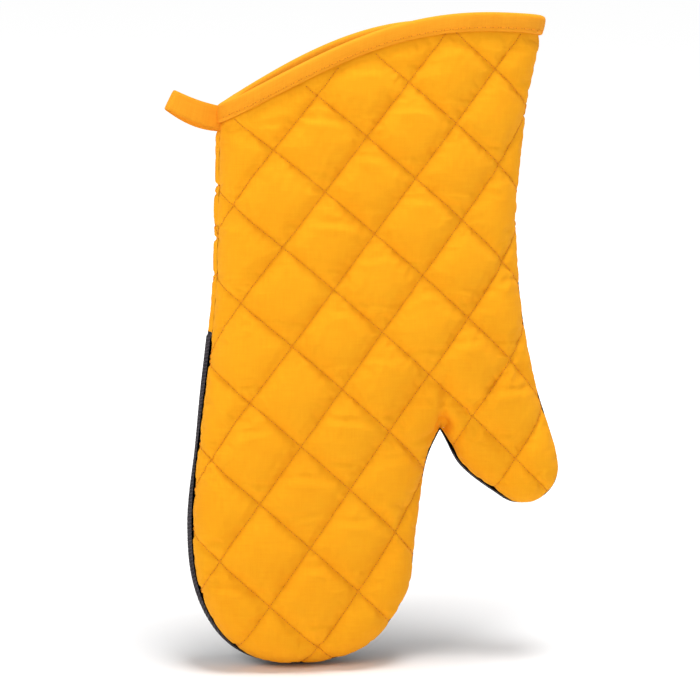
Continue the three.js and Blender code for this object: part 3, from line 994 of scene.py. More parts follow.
# %% [markdown]
# ## The palm
# The palm is one panel too. Above the heel of the hand it is the same quilted cotton;
# below, ribbed neoprene is laid over the wadding for a dry grip. The line between them
# is read from the frame, where the cuff's CAD cover ends.

# %% The palm panel
JOIN_REACH = 1.3
JOIN_GAP = 0.4
PAST_SEAM = 4


def cad_points(node):
    """The corners of a CAD node, in millimetres."""
    return np.array([v.co for v in frame["nodes"][node].data.vertices]) / MM


cuff_points = cad_points("palm_cuff_cover")
off_cuff = [np.linalg.norm(cuff_points - g, axis=1).min() for g in cad_points("palm_grip")]
join = cad_points("palm_grip")[np.array(off_cuff) < JOIN_REACH]
join = join[np.argsort(join[:, 0])][:, [0, 2]]
join[:, 1] += JOIN_GAP
join_steps = np.linspace(join[0, 0] - PAST_SEAM, join[-1, 0] + PAST_SEAM, 500)
join_fit = np.polyfit(join[:, 0], join[:, 1], 3)
join_line = clipped(np.column_stack([join_steps, np.polyval(join_fit, join_steps)]))[0]
print("neoprene starts at, mm:", join_line[0].round(1), "to", join_line[-1].round(1))


def above_join(p):
    """Which points are on the cuff, above the neoprene."""
    return p[:, 1] > np.polyval(join_fit, p[:, 0])


cuff_lines = []
for line in quilt_lines:
    upper = line[above_join(line)]
    if len(upper) > FEWEST_POINTS:
        cuff_lines.append(spaced_on(upper, STITCH / 2, PALM))
cut_lines = [spaced_on(thumb_cut, SPACING), spaced_on(join_line, SPACING, PALM)]
palm_flat, palm_faces, palm_sewn, palm_edge = panel(SPACING + 0.2, cuff_lines, cut_lines, PALM)
palm_faces = palm_faces[:, ::-1]
face_centre = palm_flat[palm_faces].mean(axis=1)
palm_regions = np.where(thumb_faces(palm_flat, palm_faces), THUMB, HAND)
palm_regions[above_join(face_centre)] = CUFF
on_cuff = above_join(palm_flat - [0, 0.1])
print("palm panel:", len(palm_flat), "points")

# %% The palm's shape
GRIP_STEP = 0.9
GRIP_STEP_REACH = (1.2, 3.0)
palm_start, palm_creases = quilted(palm_flat, palm_faces, PALM, on_cuff)
palm_held = np.where(on_cuff, hold(palm_flat, palm_sewn, palm_edge), 1.0)
palm_cloth = puffed(palm_start, palm_faces, palm_held) - palm_creases
palm_shape = softened(palm_cloth, palm_faces, palm_regions, unrolled(palm_flat))
palm_points, palm_quads, palm_region, palm_uvs = palm_shape
grip_part = np.unique(palm_quads[palm_region != CUFF])
join_marks = lifted(spaced_on(join_line, 0.5, PALM), PALM)
join_tree = tree_of(join_marks)
from_join = np.array([join_tree.find(palm_points[k])[2] for k in grip_part])
proud = np.zeros(len(palm_points))
proud[grip_part] = GRIP_STEP * smoothstep(*GRIP_STEP_REACH, from_join)
palm_normals = vertex_normals(palm_points, palm_quads)
palm_shape = (palm_points + palm_normals * proud[:, None], palm_quads, palm_region, palm_uvs)
palm_names = {CUFF: "palm_cuff_cotton", HAND: "palm_neoprene", THUMB: "thumb_neoprene"}
palm_cover = cut_pieces(palm_names, palm_shape)
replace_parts(palm_cover[CUFF], "palm_cuff_cover")
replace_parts(palm_cover[HAND], "palm_grip", "finger_grip")
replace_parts(palm_cover[THUMB], "thumb_grip")
print("palm:", {o.name: len(o.data.polygons) for o in palm_cover.values()})

# %% [markdown]
# ## Wadding and lining
# Between the cover and the lining lies a bat of cotton wadding. It is out of sight, so
# a pad with an outer and an inner face is enough. The lining can be seen through the
# mouth, so it gets the quilting's dents, seen from inside.

# %% Wadding pads
WADDING_SPACING = 5.0
WADDING_TOP = (3.7, 1.1)
WADDING_UNDER = (5.1, 2.3)
LINING_DEPTH = (6.3, 2.9)


def depth_between(p, depths):
    """A depth below the outer face: the first one, or the second under the binding."""
    full, pressed = depths
    return full + (pressed - full) * squeezed(p)


def pad(name, flat, faces, side, region):
    """A closed pad of wadding."""
    used, faces = only_used(faces)
    flat = flat[used]
    top = lifted(flat, side, depth_between(flat, WADDING_TOP) + crease_depth(flat))
    under = lifted(flat, side, depth_between(flat, WADDING_UNDER) + crease_depth(flat))
    ends = np.concatenate([faces[:, [0, 1]], faces[:, [1, 2]], faces[:, [2, 0]]])
    kept = {tuple(e) for e in ends.tolist()}
    rim = [(a, b) for a, b in kept if (b, a) not in kept]
    n = len(flat)
    sides = [(b, a, n + a, n + b) for a, b in rim]
    every = [*faces.tolist(), *(faces[:, ::-1] + n).tolist(), *sides]
    mesh = raw_mesh(name, np.concatenate([top, under]) * MM, every)
    smooth(mesh)
    obj = linked(name, mesh)
    return bend(obj, region)


# %% The pads of both sides
wadding_pads = []
pad_flat, pad_faces, _, _ = panel(WADDING_SPACING, [], [spaced_on(thumb_cut, WADDING_SPACING)])
pad_thumb = thumb_faces(pad_flat, pad_faces)
for name, chosen, region, nodes in (
    ("back_wadding", ~pad_thumb, HAND, ("hand_back_wadding", "finger_back_wadding")),
    ("thumb_back_wadding_pad", pad_thumb, THUMB, ("thumb_back_wadding",)),
):
    made = pad(name, pad_flat, pad_faces[chosen], BACK, region)
    wadding_pads.append(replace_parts(made, *nodes))

pad_cuts = [spaced_on(thumb_cut, WADDING_SPACING), spaced_on(join_line, WADDING_SPACING, PALM)]
pad_flat, pad_faces, _, _ = panel(WADDING_SPACING, [], pad_cuts, PALM)
pad_faces = pad_faces[:, ::-1]
pad_cuff = above_join(pad_flat[pad_faces].mean(axis=1))
pad_thumb = thumb_faces(pad_flat, pad_faces) & ~pad_cuff
for name, chosen, region, nodes in (
    ("palm_cuff_wadding_pad", pad_cuff, CUFF, ("palm_cuff_wadding",)),
    ("palm_wadding_pad", ~pad_cuff & ~pad_thumb, HAND, ("palm_wadding", "finger_palm_wadding")),
    ("thumb_palm_wadding_pad", pad_thumb, THUMB, ("thumb_palm_wadding",)),
):
    made = pad(name, pad_flat, pad_faces[chosen], PALM, region)
    wadding_pads.append(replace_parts(made, *nodes))
print("wadding:", [o.name for o in wadding_pads])

# %% The lining
LINING_SPACING = 3.2
LINING_DENT = 0.8


def lining(side, names, nodes):
    """One face of the inner bag, dented outwards at the stitching."""
    lines = [spaced_on(line, LINING_SPACING, side) for line in quilt_lines]
    flat, faces, _, _ = panel(LINING_SPACING, lines, [spaced_on(thumb_cut, LINING_SPACING)], side)
    if side == PALM:
        faces = faces[:, ::-1]
    far = distance_to(quilt_lines, lifted(flat, side), side)
    dent = LINING_DENT * np.exp(-(far / QUILT_REACH) ** 1.3) * (1 - squeezed(flat))
    points = lifted(flat, side, depth_between(flat, LINING_DEPTH) - dent + crease_depth(flat))
    points[on_seam(flat), 1] = side * SEAM_GAP
    regions = np.where(thumb_faces(flat, faces), THUMB, HAND)
    made = cut_pieces(names, softened(points, faces, regions, unrolled(flat)))
    for region, replaced in nodes.items():
        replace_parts(made[region], *replaced)
    return made


back_lining = lining(
    BACK,
    {HAND: "back_lining", THUMB: "thumb_back_lining_bag"},
    {HAND: ("hand_back_lining", "finger_back_lining"), THUMB: ("thumb_back_lining",)},
)
palm_lining = lining(
    PALM,
    {HAND: "palm_lining_bag", THUMB: "thumb_palm_lining_bag"},
    {HAND: ("palm_lining", "finger_palm_lining"), THUMB: ("thumb_palm_lining",)},
)
print("lining faces:", [len(o.data.polygons) for o in (*back_lining.values(), *palm_lining.values())])

# %% [markdown]
# ## The stitching
# A quilting stitch is 3.5 mm long: it comes up at one needle hole, lies on the cloth
# and goes down at the next. Each stitch is a short, thin tube that dips below the cloth
# at both ends, laid on the finished cover, so the row follows every pucker.

# %% Stitches
THREAD_RADIUS = 0.3
THREAD_SIDES = 6
THREAD_STEPS = 7
THREAD_LIFT = 0.2
QUILT_SINK = 0.25
BINDING_SINK = 0.4


def surface_tree(points, quads):
    """A search tree of a surface."""
    return BVHTree.FromPolygons(points.tolist(), quads.tolist())


def stitch_tube(tree, a, b, sink):
    """The rings of points of one stitch from a to b on a surface."""
    rings = []
    for t in np.linspace(0, 1, THREAD_STEPS):
        place, normal, _, _ = tree.find_nearest(Vector(a + (b - a) * t))
        bow = math.sin(math.pi * t) ** 0.5
        height = -sink + (THREAD_LIFT + sink) * bow
        width = THREAD_RADIUS * (0.55 + 0.45 * bow)
        across = normal.cross(Vector(b - a)).normalized() * width
        up = normal * width * 0.8
        centre = place + normal * height
        turns = np.arange(THREAD_SIDES) * 2 * math.pi / THREAD_SIDES
        rings.append([centre + across * math.cos(w) + up * math.sin(w) for w in turns])
    return rings


def stitch_mesh(name, tubes):
    """One mesh of many stitches; the UV's first number runs along each stitch."""
    points, faces, uvs = [], [], []
    for rings in tubes:
        base = len(points)
        for ring in rings:
            points += [np.array(p) for p in ring]
        for r in range(len(rings) - 1):
            here = base + r * THREAD_SIDES
            onward = here + THREAD_SIDES
            u0, u1 = r / (len(rings) - 1), (r + 1) / (len(rings) - 1)
            for s in range(THREAD_SIDES):
                s2 = (s + 1) % THREAD_SIDES
                v0, v1 = s / THREAD_SIDES, (s + 1) / THREAD_SIDES
                faces.append((here + s, here + s2, onward + s2, onward + s))
                uvs += [(u0, v0), (u0, v1), (u1, v1), (u1, v0)]
    mesh = raw_mesh(name, np.array(points) * MM, np.array(faces))
    mesh.uv_layers.new(name="cloth").data.foreach_set("uv", np.array(uvs).ravel())
    smooth(mesh)
    obj = linked(name, mesh)
    return obj


# %% The rows of quilting
def quilting(lines, side, tree, names):
    """The stitches of all the quilting lines of one panel, by the piece they are on."""
    tubes = {HAND: [], THUMB: [], CUFF: []}
    for line in lines:
        start = lifted(line, side, QUILT_DEPTH)
        holes = np.array([tree.find_nearest(Vector(p))[0] for p in start[::2]])
        for k in range(len(holes) - 1):
            middle = (line[2 * k] + line[2 * k + 2])[None] / 2
            if nearest(mouth_line, middle)[0][0] < BINDING_WIDTH:
                continue
            region = CUFF
            if side == BACK:
                region = THUMB if on_thumb(middle)[0] else HAND
            tubes[region].append(stitch_tube(tree, holes[k], holes[k + 1], QUILT_SINK))
    return {region: stitch_mesh(name, tubes[region]) for region, name in names.items()}


back_names = {HAND: "back_stitching", THUMB: "thumb_back_stitching"}
back_stitches = quilting(stitch_lines, BACK, surface_tree(*back_shape[:2]), back_names)
cuff_names = {CUFF: "cuff_stitching"}
cuff_stitches = quilting(cuff_lines, PALM, surface_tree(*palm_shape[:2]), cuff_names)
quilt_stitches = [*back_stitches.items(), *cuff_stitches.items()]
print("stitch faces:", [len(obj.data.polygons) for _, obj in quilt_stitches])

# %% [markdown]
# ## The binding
# A bias strip is folded over the raw edges of the mouth and stitched through all the
# layers. It is swept round the mouth as a closed ring with a rounded top and two turned
# hems, and then made slightly uneven, since a strip on a curve never lies quite flat.

# %% The binding
BINDING_PROFILE = (
    (8.0, 0.0), (8.15, -0.7), (7.7, -1.3), (6.6, -1.45), (4.6, -1.7), (2.2, -1.75), (0.2, -1.65),
    (-0.9, -1.2), (-1.5, -0.2), (-1.65, 1.2), (-1.5, 2.8), (-0.9, 4.0), (0.2, 4.7), (2.2, 4.85),
    (4.6, 4.8), (6.6, 4.5), (7.7, 4.3), (8.15, 3.8), (8.0, 3.2),
    (6.8, 3.5), (2.0, 3.8), (-0.4, 3.0), (-0.8, 1.3), (-0.4, -0.2), (2.0, -0.7), (6.8, -0.5),
)
BINDING_STEP = 2.0
MOUTH_RUN = MOUTH_RIGHT - MOUTH_LEFT
left_down = (finger_side[8] - MOUTH_LEFT) / np.linalg.norm(finger_side[8] - MOUTH_LEFT)
right_down = (thumb_side[-9] - MOUTH_RIGHT) / np.linalg.norm(thumb_side[-9] - MOUTH_RIGHT)


def mouth_stations():
    """Places round the mouth, as (side, point); the two corners are on neither side."""
    stations = []
    for side in (BACK, PALM):
        line = spaced_on(mouth_line, BINDING_STEP, side)
        if side == PALM:
            line = line[::-1]
        for k, p in enumerate(line[:-1]):
            stations.append((0 if k == 0 else side, p))
    return stations


def bound(stations, down, depth):
    """Points at one place of the binding's profile, all round the mouth."""
    p = np.array([s[1] for s in stations])
    side = np.array([s[0] for s in stations])
    share = (p - MOUTH_LEFT) @ MOUTH_RUN / (MOUTH_RUN @ MOUTH_RUN)
    way = left_down + np.clip(share, 0, 1)[:, None] * (right_down - left_down)
    way = way / np.linalg.norm(way, axis=1)[:, None]
    placed = lifted(p + way * down, BACK, depth)
    placed[:, 1] *= -side
    placed[:, 2] += np.where(side == PALM, raised(p), 0)
    return placed


# %% Sweeping the binding
stations = mouth_stations()
turn = np.linspace(0, 2 * math.pi, len(stations), endpoint=False)
wobble = 0.12 * np.sin(turn * 17 + 1) + 0.1 * np.sin(turn * 41) + 0.06 * np.sin(turn * 67 + 2)
rings = []
for down, depth in BINDING_PROFILE:
    rings.append(bound(stations, down, depth - wobble if depth < 0 else depth))
ring_points = np.stack(rings, axis=1)


def swept(points, closed, u_steps, v_steps):
    """Quads and UVs over a grid of points (stations by profile), closed round the profile."""
    count, sides = points.shape[:2]
    quads, uvs = [], []
    for k in range(count if closed else count - 1):
        k2 = (k + 1) % count
        for s in range(sides):
            s2 = (s + 1) % sides
            quads.append((k * sides + s, k * sides + s2, k2 * sides + s2, k2 * sides + s))
            u0, u1 = k * u_steps, (k + 1) * u_steps
            uvs += [(u0, v_steps[s]), (u0, v_steps[s + 1]), (u1, v_steps[s + 1]), (u1, v_steps[s])]
    return points.reshape(-1, 3), np.array(quads), np.array(uvs).reshape(-1, 4, 2)


profile = np.array([*BINDING_PROFILE, BINDING_PROFILE[0]])
around = np.concatenate([[0], np.cumsum(np.linalg.norm(np.diff(profile, axis=0), axis=1))]) * MM
points, quads, uvs = swept(ring_points, True, BINDING_STEP * MM, around)
binding = subdivided(piece("mouth_binding", points, quads[:, ::-1], uvs[:, ::-1]))
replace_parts(binding, "cuff_binding")
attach(binding, "hand")
print("binding:", len(binding.data.polygons), "faces")

# %% The binding's stitches
BINDING_STITCH = 4.2
ROW_DOWN = 6.2
ROW_ABOVE = 1.8
strip = solved(binding)
strip_points = np.array([v.co for v in strip.vertices]) / MM
strip_tree = surface_tree(strip_points, np.array([list(f.vertices) for f in strip.polygons]))
row = []
for side in (BACK, PALM):
    line = spaced_on(mouth_line, BINDING_STITCH, side)[1:-1]
    marks = bound([(side, p) for p in line], ROW_DOWN, -ROW_ABOVE)
    row += [stitch_tube(strip_tree, a, b, BINDING_SINK) for a, b in zip(marks[:-1], marks[1:])]
binding_stitches = stitch_mesh("binding_stitches", row)
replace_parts(binding_stitches, "binding_thread")
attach(binding_stitches, "hand")
print("binding stitches:", len(row))

# %% [markdown]
# ## The hanging loop
# A length of the same strip, folded on itself and caught in the seam under the end of
# the binding. Its two layers lie nearly together at the root, belly apart and meet in a
# rounded bight at the tip.

# %% The loop
LOOP_ROOT_TOP = np.array([-79.4, -21.8])
LOOP_ROOT_BOTTOM = np.array([-79.4, -34.2])
LOOP_TIP_TOP = np.array([-104.3, -13.5])
LOOP_TIP_BOTTOM = np.array([-109.0, -22.7])
TAPE_HALF = 0.62
LOOP_LENGTH = 24
LOOP_STEP = 1.5
LOOP_SAG = 1.1
BACK_LAYER_SAG = 7.5
BIGHT_START = 0.88
BIGHT_LENGTH = 0.095
ROOT_SPREAD = 1.1
BELLY_SPREAD = 2.7
BIGHT_PINCH = 1.1
LOOP_SIDE_STEPS = 16
LOOP_TIP_STEPS = 9


def spread(s):
    """How far a layer of the loop stands off its middle at a share s of its length."""
    belly = BELLY_SPREAD * smoothstep(0.05, 0.5, s)
    return ROOT_SPREAD + belly - BIGHT_PINCH * smoothstep(0.7, 1.0, s)


def loop_path():
    """Shares along the tape and offsets in y of its middle, from root to tip and back."""
    shares = np.linspace(0, BIGHT_START, LOOP_SIDE_STEPS)
    path = [(s, -spread(s) + 0.25 * math.sin(5 * s)) for s in shares]
    radius = -path[-1][1]
    for angle in np.linspace(0, math.pi, LOOP_TIP_STEPS)[1:-1]:
        path.append((BIGHT_START + BIGHT_LENGTH * math.sin(angle), -radius * math.cos(angle)))
    return np.array([*path, *[(s, spread(s)) for s in shares[::-1]]])


# %% The loop's tape
LOOP_ACROSS = (0.0, 0.03, 0.1, 0.3, 0.5, 0.7, 0.9, 0.97, 1.0)
path = loop_path()
path_run = np.gradient(path * [LOOP_LENGTH, 1], axis=0)
path_side = np.column_stack([-path_run[:, 1], path_run[:, 0]])
path_side /= np.linalg.norm(path_side, axis=1)[:, None]
loop_rings = []
for (s, y), side in zip(path, path_side):
    ring = []
    sag = -LOOP_SAG * math.sin(math.pi * min(s, 1)) - (BACK_LAYER_SAG * s * (1 - s) if y > 0 else 0)
    for face in (1, -1):
        across = LOOP_ACROSS if face == 1 else LOOP_ACROSS[::-1]
        for v in across:
            top = LOOP_ROOT_TOP + (LOOP_TIP_TOP - LOOP_ROOT_TOP) * s
            bottom = LOOP_ROOT_BOTTOM + (LOOP_TIP_BOTTOM - LOOP_ROOT_BOTTOM) * s
            place = top + (bottom - top) * v
            half = TAPE_HALF * min(1, 0.35 + 4 * min(v, 1 - v) ** 0.7) * face
            x = place[0] - side[0] * half
            ring.append((x, y + side[1] * half, place[1] + sag))
    loop_rings.append(ring)
loop_points = np.array(loop_rings)
loop_around = np.linspace(0, LOOP_LENGTH, loop_points.shape[1] + 1) * MM
points, quads, uvs = swept(loop_points, False, LOOP_STEP * MM, loop_around)
sides = loop_points.shape[1]
k = np.arange(sides // 2 - 1)
for first, step in ((0, -1), (len(points) - sides, 1)):
    end = first + np.column_stack([k, k + 1, sides - 2 - k, sides - 1 - k])
    quads = np.concatenate([quads, end[:, ::step]])
    uvs = np.concatenate([uvs, np.tile(uvs[:1], (len(end), 1, 1))])
loop = subdivided(piece("tape_loop", points, quads[:, ::-1], uvs[:, ::-1]))
bpy.context.view_layer.objects.active = loop
bpy.ops.object.modifier_apply(modifier="soft")
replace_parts(loop, "hanging_loop")
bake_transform(loop)
print("loop:", len(loop.data.polygons), "faces")

# %% [markdown]
# ## Placing the cloth
# The pieces of the covers, the lining and the stitching on the hand and the thumb are
# baked in place, and those on the cuff ride on the hand. The cloth pieces are then
# gathered by their finish.

# %% Placing and gathering the cloth
covers = [*back_cover.items(), *palm_cover.items()]
linings = [*back_lining.items(), *palm_lining.items()]
for region, obj in (*covers, *linings, *quilt_stitches):
    bend(obj, region)


cotton_pieces = [*back_cover.values(), palm_cover[CUFF]]
neoprene_pieces = [palm_cover[HAND], palm_cover[THUMB]]
lining_pieces = [obj for _, obj in linings]

# %% [markdown]
# ## Finishes
# All the cotton is one plain weave. Its threads are too fine to count from here, but
# their uneven thickness shows as faint streaks along and across the cloth, so the weave
# is a shared node group with both: streaks for the colour, and threads that pass over
# and under each other for the bump.

# %% Helpers for finishes
def new_group(name, inputs, outputs):
    """An empty shader group with named float inputs and outputs."""
    group = bpy.data.node_groups.new(name, "ShaderNodeTree")
    for socket, value in inputs:
        made = group.interface.new_socket(socket, in_out="INPUT", socket_type="NodeSocketFloat")
        made.default_value = value
    for socket in outputs:
        group.interface.new_socket(socket, in_out="OUTPUT", socket_type="NodeSocketFloat")
    return group, group.nodes.new("NodeGroupInput"), group.nodes.new("NodeGroupOutput")


def math_node(tree, operation, a, b=None):
    """The result of one sum; a and b are numbers or other nodes' outputs."""
    node = tree.nodes.new("ShaderNodeMath")
    node.operation = operation
    for socket, value in zip(node.inputs, (a, b)):
        if value is None:
            continue
        if isinstance(value, (int, float)):
            socket.default_value = value
        else:
            tree.links.new(value, socket)
    return node.outputs[0]


def noise(tree, vector, scales, detail=2.0):
    """Noise with so many spots per metre along each of the three axes."""
    stretch = tree.nodes.new("ShaderNodeMapping")
    stretch.inputs["Scale"].default_value = scales
    tree.links.new(vector, stretch.inputs["Vector"])
    node = tree.nodes.new("ShaderNodeTexNoise")
    node.inputs["Scale"].default_value = 1.0
    node.inputs["Detail"].default_value = detail
    tree.links.new(stretch.outputs["Vector"], node.inputs["Vector"])
    return node.outputs["Fac"]


def cloth_place(tree):
    """The place on the flat cloth, in metres."""
    node = tree.nodes.new("ShaderNodeUVMap")
    node.uv_map = "cloth"
    return node.outputs["UV"]


def both_ways(tree, place):
    """The two numbers of a place, each on its own."""
    parts = tree.nodes.new("ShaderNodeSeparateXYZ")
    tree.links.new(place, parts.inputs[0])
    return parts.outputs[0], parts.outputs[1]


# %% The plain weave group
THREADS = 2600.0
STREAKS_ACROSS = 2200
STREAKS_ALONG = 90
weave, weave_in, weave_out = new_group(
    "plain_weave", [("Threads per metre", THREADS)], ["Height", "Streaks"]
)
place = cloth_place(weave)
phase = [math_node(weave, "MULTIPLY", v, weave_in.outputs[0]) for v in both_ways(weave, place)]
waves = [math_node(weave, "SINE", math_node(weave, "MULTIPLY", p, math.pi)) for p in phase]
over_under = math_node(weave, "MULTIPLY", waves[0], waves[1])
along = noise(weave, place, (STREAKS_ACROSS, STREAKS_ALONG, 1))
across = noise(weave, place, (STREAKS_ALONG, STREAKS_ACROSS, 1))
streaks = math_node(weave, "MULTIPLY", math_node(weave, "ADD", along, across), 0.5)
relief = math_node(weave, "ADD", math_node(weave, "MULTIPLY", over_under, 0.4), streaks)
weave.links.new(relief, weave_out.inputs[0])
weave.links.new(streaks, weave_out.inputs[1])
print("group:", weave.name, [item.name for item in weave.interface.items_tree])


# %% Helpers for materials
def srgb(r, g, b):
    """A colour as the eye names it, turned into light."""
    shares = np.array([r, g, b]) / 255
    light = np.where(shares < 0.039, shares / 12.92, ((shares + 0.055) / 1.055) ** 2.4)
    return (*light.tolist(), 1.0)


def material(name, roughness, sheen=0.0, sheen_tint=(1, 1, 1, 1)):
    """A matt material, its nodes and its shader."""
    made = bpy.data.materials.new(name)
    made.use_nodes = True
    tree = made.node_tree
    shader = tree.nodes["Principled BSDF"]
    shader.inputs["Roughness"].default_value = roughness
    shader.inputs["Specular IOR Level"].default_value = 0.18
    shader.inputs["Sheen Weight"].default_value = sheen
    shader.inputs["Sheen Roughness"].default_value = 0.5
    shader.inputs["Sheen Tint"].default_value = sheen_tint
    return made, tree, shader


def coloured(tree, shader, factor, a, b):
    """Colours a shader from a to b as the factor goes from 0 to 1."""
    node = tree.nodes.new("ShaderNodeMix")
    node.data_type = "RGBA"
    tree.links.new(factor, node.inputs["Factor"])
    node.inputs[6].default_value = a
    node.inputs[7].default_value = b
    tree.links.new(node.outputs[2], shader.inputs["Base Color"])


def ranged(tree, value, low, high):
    """A value as its share of the way from low to high."""
    node = tree.nodes.new("ShaderNodeMapRange")
    node.inputs["From Min"].default_value = low
    node.inputs["From Max"].default_value = high
    tree.links.new(value, node.inputs["Value"])
    return node.outputs["Result"]


def bumped(tree, shader, height, distance):
    """Gives a shader a relief of this height, in metres."""
    node = tree.nodes.new("ShaderNodeBump")
    node.inputs["Distance"].default_value = distance
    node.inputs["Strength"].default_value = 1.0
    tree.links.new(height, node.inputs["Height"])
    tree.links.new(node.outputs["Normal"], shader.inputs["Normal"])


# %% Cotton
WEAVE_RELIEF = 0.12 * MM


def cotton(name, plain, deep, threads=THREADS):
    """Woven cotton: two close tones along its threads, dyed a little unevenly."""
    made, tree, shader = material(name, 0.85, 0.06, plain)
    group = tree.nodes.new("ShaderNodeGroup")
    group.node_tree = weave
    group.inputs[0].default_value = threads
    streaks = math_node(tree, "MULTIPLY", group.outputs["Streaks"], 0.75)
    blotches = math_node(tree, "MULTIPLY", noise(tree, cloth_place(tree), (30, 30, 1), 3.0), 0.35)
    tone = ranged(tree, math_node(tree, "ADD", streaks, blotches), 0.38, 0.72)
    coloured(tree, shader, tone, deep, plain)
    bumped(tree, shader, group.outputs["Height"], WEAVE_RELIEF)
    return made


cover_cotton = cotton("cover_cotton", srgb(247, 170, 20), srgb(242, 156, 10))
binding_cotton = cotton("binding_cotton", srgb(243, 162, 34), srgb(236, 148, 24))
lining_cotton = cotton("lining_cotton", srgb(236, 150, 50), srgb(226, 138, 40))
print("cottons:", [made.name for made in (cover_cotton, binding_cotton, lining_cotton)])

# %% [markdown]
# The thread is a little darker than the cloth, and painted darker still at the needle
# holes, a painted shade for where it goes down into the cloth. Its two plies are a fine
# twist along each stitch. The neoprene's face is a slanted rib with a weaker one across
# it, its valleys painted darker as shade and its ridges lighter as a painted highlight,
# and the wadding is a soft white felt.

# %% Thread
PLY_RELIEF = 0.05 * MM
thread, tree, shader = material("thread", 0.6)
along_stitch, round_stitch = both_ways(tree, cloth_place(tree))
middle = math_node(tree, "ABSOLUTE", math_node(tree, "SUBTRACT", along_stitch, 0.5))
# The thread's colour is painted darker towards both ends of each stitch: painted shade at the needle
# holes.
painted_hole_shade = ranged(tree, middle, 0.24, 0.38)
coloured(tree, shader, painted_hole_shade, srgb(240, 154, 20), srgb(192, 92, 10))
twist = math_node(tree, "MULTIPLY", along_stitch, 40)
ply = math_node(tree, "ADD", twist, math_node(tree, "MULTIPLY", round_stitch, 12.6))
bumped(tree, shader, math_node(tree, "SINE", ply), PLY_RELIEF)
print("thread:", len(tree.nodes), "nodes")

# %% Neoprene
RIB_WAVES = 2 * math.pi / (1.9 * MM)
CROSS_WAVES = RIB_WAVES / 1.6
RIB_RELIEF = 0.28 * MM
neoprene, tree, shader = material("neoprene", 0.62)
place = cloth_place(tree)
across, along = both_ways(tree, place)
slant = math_node(tree, "ADD", along, math_node(tree, "MULTIPLY", across, 0.5))
rib = math_node(tree, "SINE", math_node(tree, "MULTIPLY", slant, RIB_WAVES))
cross_rib = math_node(tree, "SINE", math_node(tree, "MULTIPLY", across, CROSS_WAVES))
grain = noise(tree, place, (3000, 3000, 1))
relief = math_node(tree, "ADD", rib, math_node(tree, "MULTIPLY", cross_rib, 0.5))
relief = math_node(tree, "ADD", relief, math_node(tree, "MULTIPLY", grain, 0.6))
# The colour follows the rib's height as well as the grain's random tone: the valleys are painted
# darker as shade and the ridges lighter as a painted highlight.
coloured(tree, shader, ranged(tree, relief, -1.2, 1.8), srgb(30, 26, 30), srgb(74, 68, 74))
bumped(tree, shader, relief, RIB_RELIEF)
print("neoprene:", len(tree.nodes), "nodes")

# %% Wadding
FELT_RELIEF = 0.6 * MM
wadding_white, tree, shader = material("wadding", 0.95)
in_space = tree.nodes.new("ShaderNodeTexCoord").outputs["Object"]
fibres = noise(tree, in_space, (900, 900, 900), 4.0)
coloured(tree, shader, fibres, srgb(226, 221, 208), srgb(246, 243, 235))
bumped(tree, shader, fibres, FELT_RELIEF)
print("wadding:", len(tree.nodes), "nodes")


# %% Dressing the pieces
def dress(finish, *objects):
    """Gives pieces a finish in place of any that they have."""
    for obj in objects:
        obj.data.materials.clear()
        obj.data.materials.append(finish)


dress(cover_cotton, *cotton_pieces)
dress(neoprene, *neoprene_pieces)
dress(lining_cotton, *lining_pieces)
dress(wadding_white, *wadding_pads)
dress(binding_cotton, binding, loop)
dress(thread, binding_stitches, *[obj for _, obj in quilt_stitches])
print("finishes:", sorted(m.name for m in bpy.data.materials))
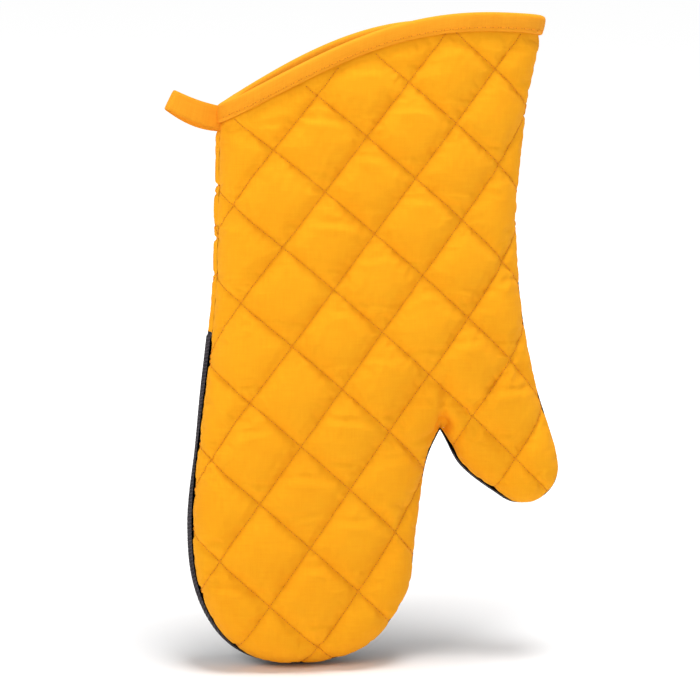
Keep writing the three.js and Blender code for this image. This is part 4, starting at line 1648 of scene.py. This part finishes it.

# %% [markdown]
# ## The studio
# A pale floor just under the fingertips, an even white room, and two large soft lights:
# one high on the left in front, which models the quilting, and one overhead, which drops
# a soft shadow under the fingertips. The floor rises a little to the back, like a sheet
# of paper that curves up behind the mitt, so that the shadow can be seen from the front.
# Away from the mitt the floor also glows, more the further out it is: painted light that
# keeps it white to its far edge while the shadow under the fingertips stays.

# %% The floor
FLOOR_HALF = 6.0
FLOOR_TILT = math.radians(7)
FLOOR_GAP = 0.8 * MM
FLOOR_GLOW = 0.55
floor_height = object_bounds()[0].z - FLOOR_GAP
corners = np.array([(-1, -1, 0), (1, -1, 0), (1, 1, 0), (-1, 1, 0)]) * FLOOR_HALF
floor = linked("floor", raw_mesh("floor", corners, [(0, 1, 2, 3)]))
floor.location.z = floor_height
floor.rotation_euler.x = FLOOR_TILT
glowing_floor_paint, tree, shader = material("glowing_floor_paint", 0.9)
apart = tree.nodes.new("ShaderNodeVectorMath")
apart.operation = "LENGTH"
tree.links.new(tree.nodes.new("ShaderNodeTexCoord").outputs["Object"], apart.inputs[0])
# The floor's painted light: it glows not at all within 0.2 m of its middle and fully from 0.8 m out,
# though it is no lamp.
shader.inputs["Emission Strength"].default_value = FLOOR_GLOW
tree.links.new(ranged(tree, apart.outputs["Value"], 0.2, 0.8), shader.inputs["Emission Color"])
shader.inputs["Base Color"].default_value = (0.93, 0.93, 0.93, 1)
shader.inputs["Specular IOR Level"].default_value = 0.0
floor.data.materials.append(glowing_floor_paint)
print("floor at, mm:", round(floor.location.z / MM, 1))

# %% The room
ROOM_LIGHT = 0.46
world = bpy.data.worlds.new("room")
world.use_nodes = True
tree = world.node_tree
background = tree.nodes["Background"]
seen = tree.nodes.new("ShaderNodeBackground")
seen.inputs["Strength"].default_value = 1.0
seen.inputs["Color"].default_value = (1, 1, 1, 1)
background.inputs["Color"].default_value = (1.0, 1.0, 1.0, 1)
background.inputs["Strength"].default_value = ROOM_LIGHT
choice = tree.nodes.new("ShaderNodeMixShader")
tree.links.new(tree.nodes.new("ShaderNodeLightPath").outputs["Is Camera Ray"], choice.inputs[0])
tree.links.new(background.outputs[0], choice.inputs[1])
tree.links.new(seen.outputs[0], choice.inputs[2])
tree.links.new(choice.outputs[0], tree.nodes["World Output"].inputs[0])
bpy.context.scene.world = world
bpy.context.scene.view_settings.view_transform = "Standard"
print("room light:", ROOM_LIGHT)


# %% The lights
def soft_light(name, place, target, size, power):
    """A round soft light at a place, turned to a target."""
    data = bpy.data.lights.new(name, "AREA")
    data.shape = "DISK"
    data.size = size
    data.energy = power
    obj = linked(name, data)
    obj.location = place
    obj.rotation_mode = "QUATERNION"
    obj.rotation_quaternion = (Vector(place) - Vector(target)).to_track_quat("Z", "Y")
    print(name, "light:", power, "W")


soft_light("key", (-1.2, -1.2, 0.8), (0, 0, -0.14), 0.9, 10.5)
soft_light("top", (0.1, -0.2, 1.2), (-0.04, 0, -0.2), 0.6, 18)

# %% [markdown]
# ## Finishing
# The scene is brought up to date.

# %% Finish
bpy.context.view_layer.update()
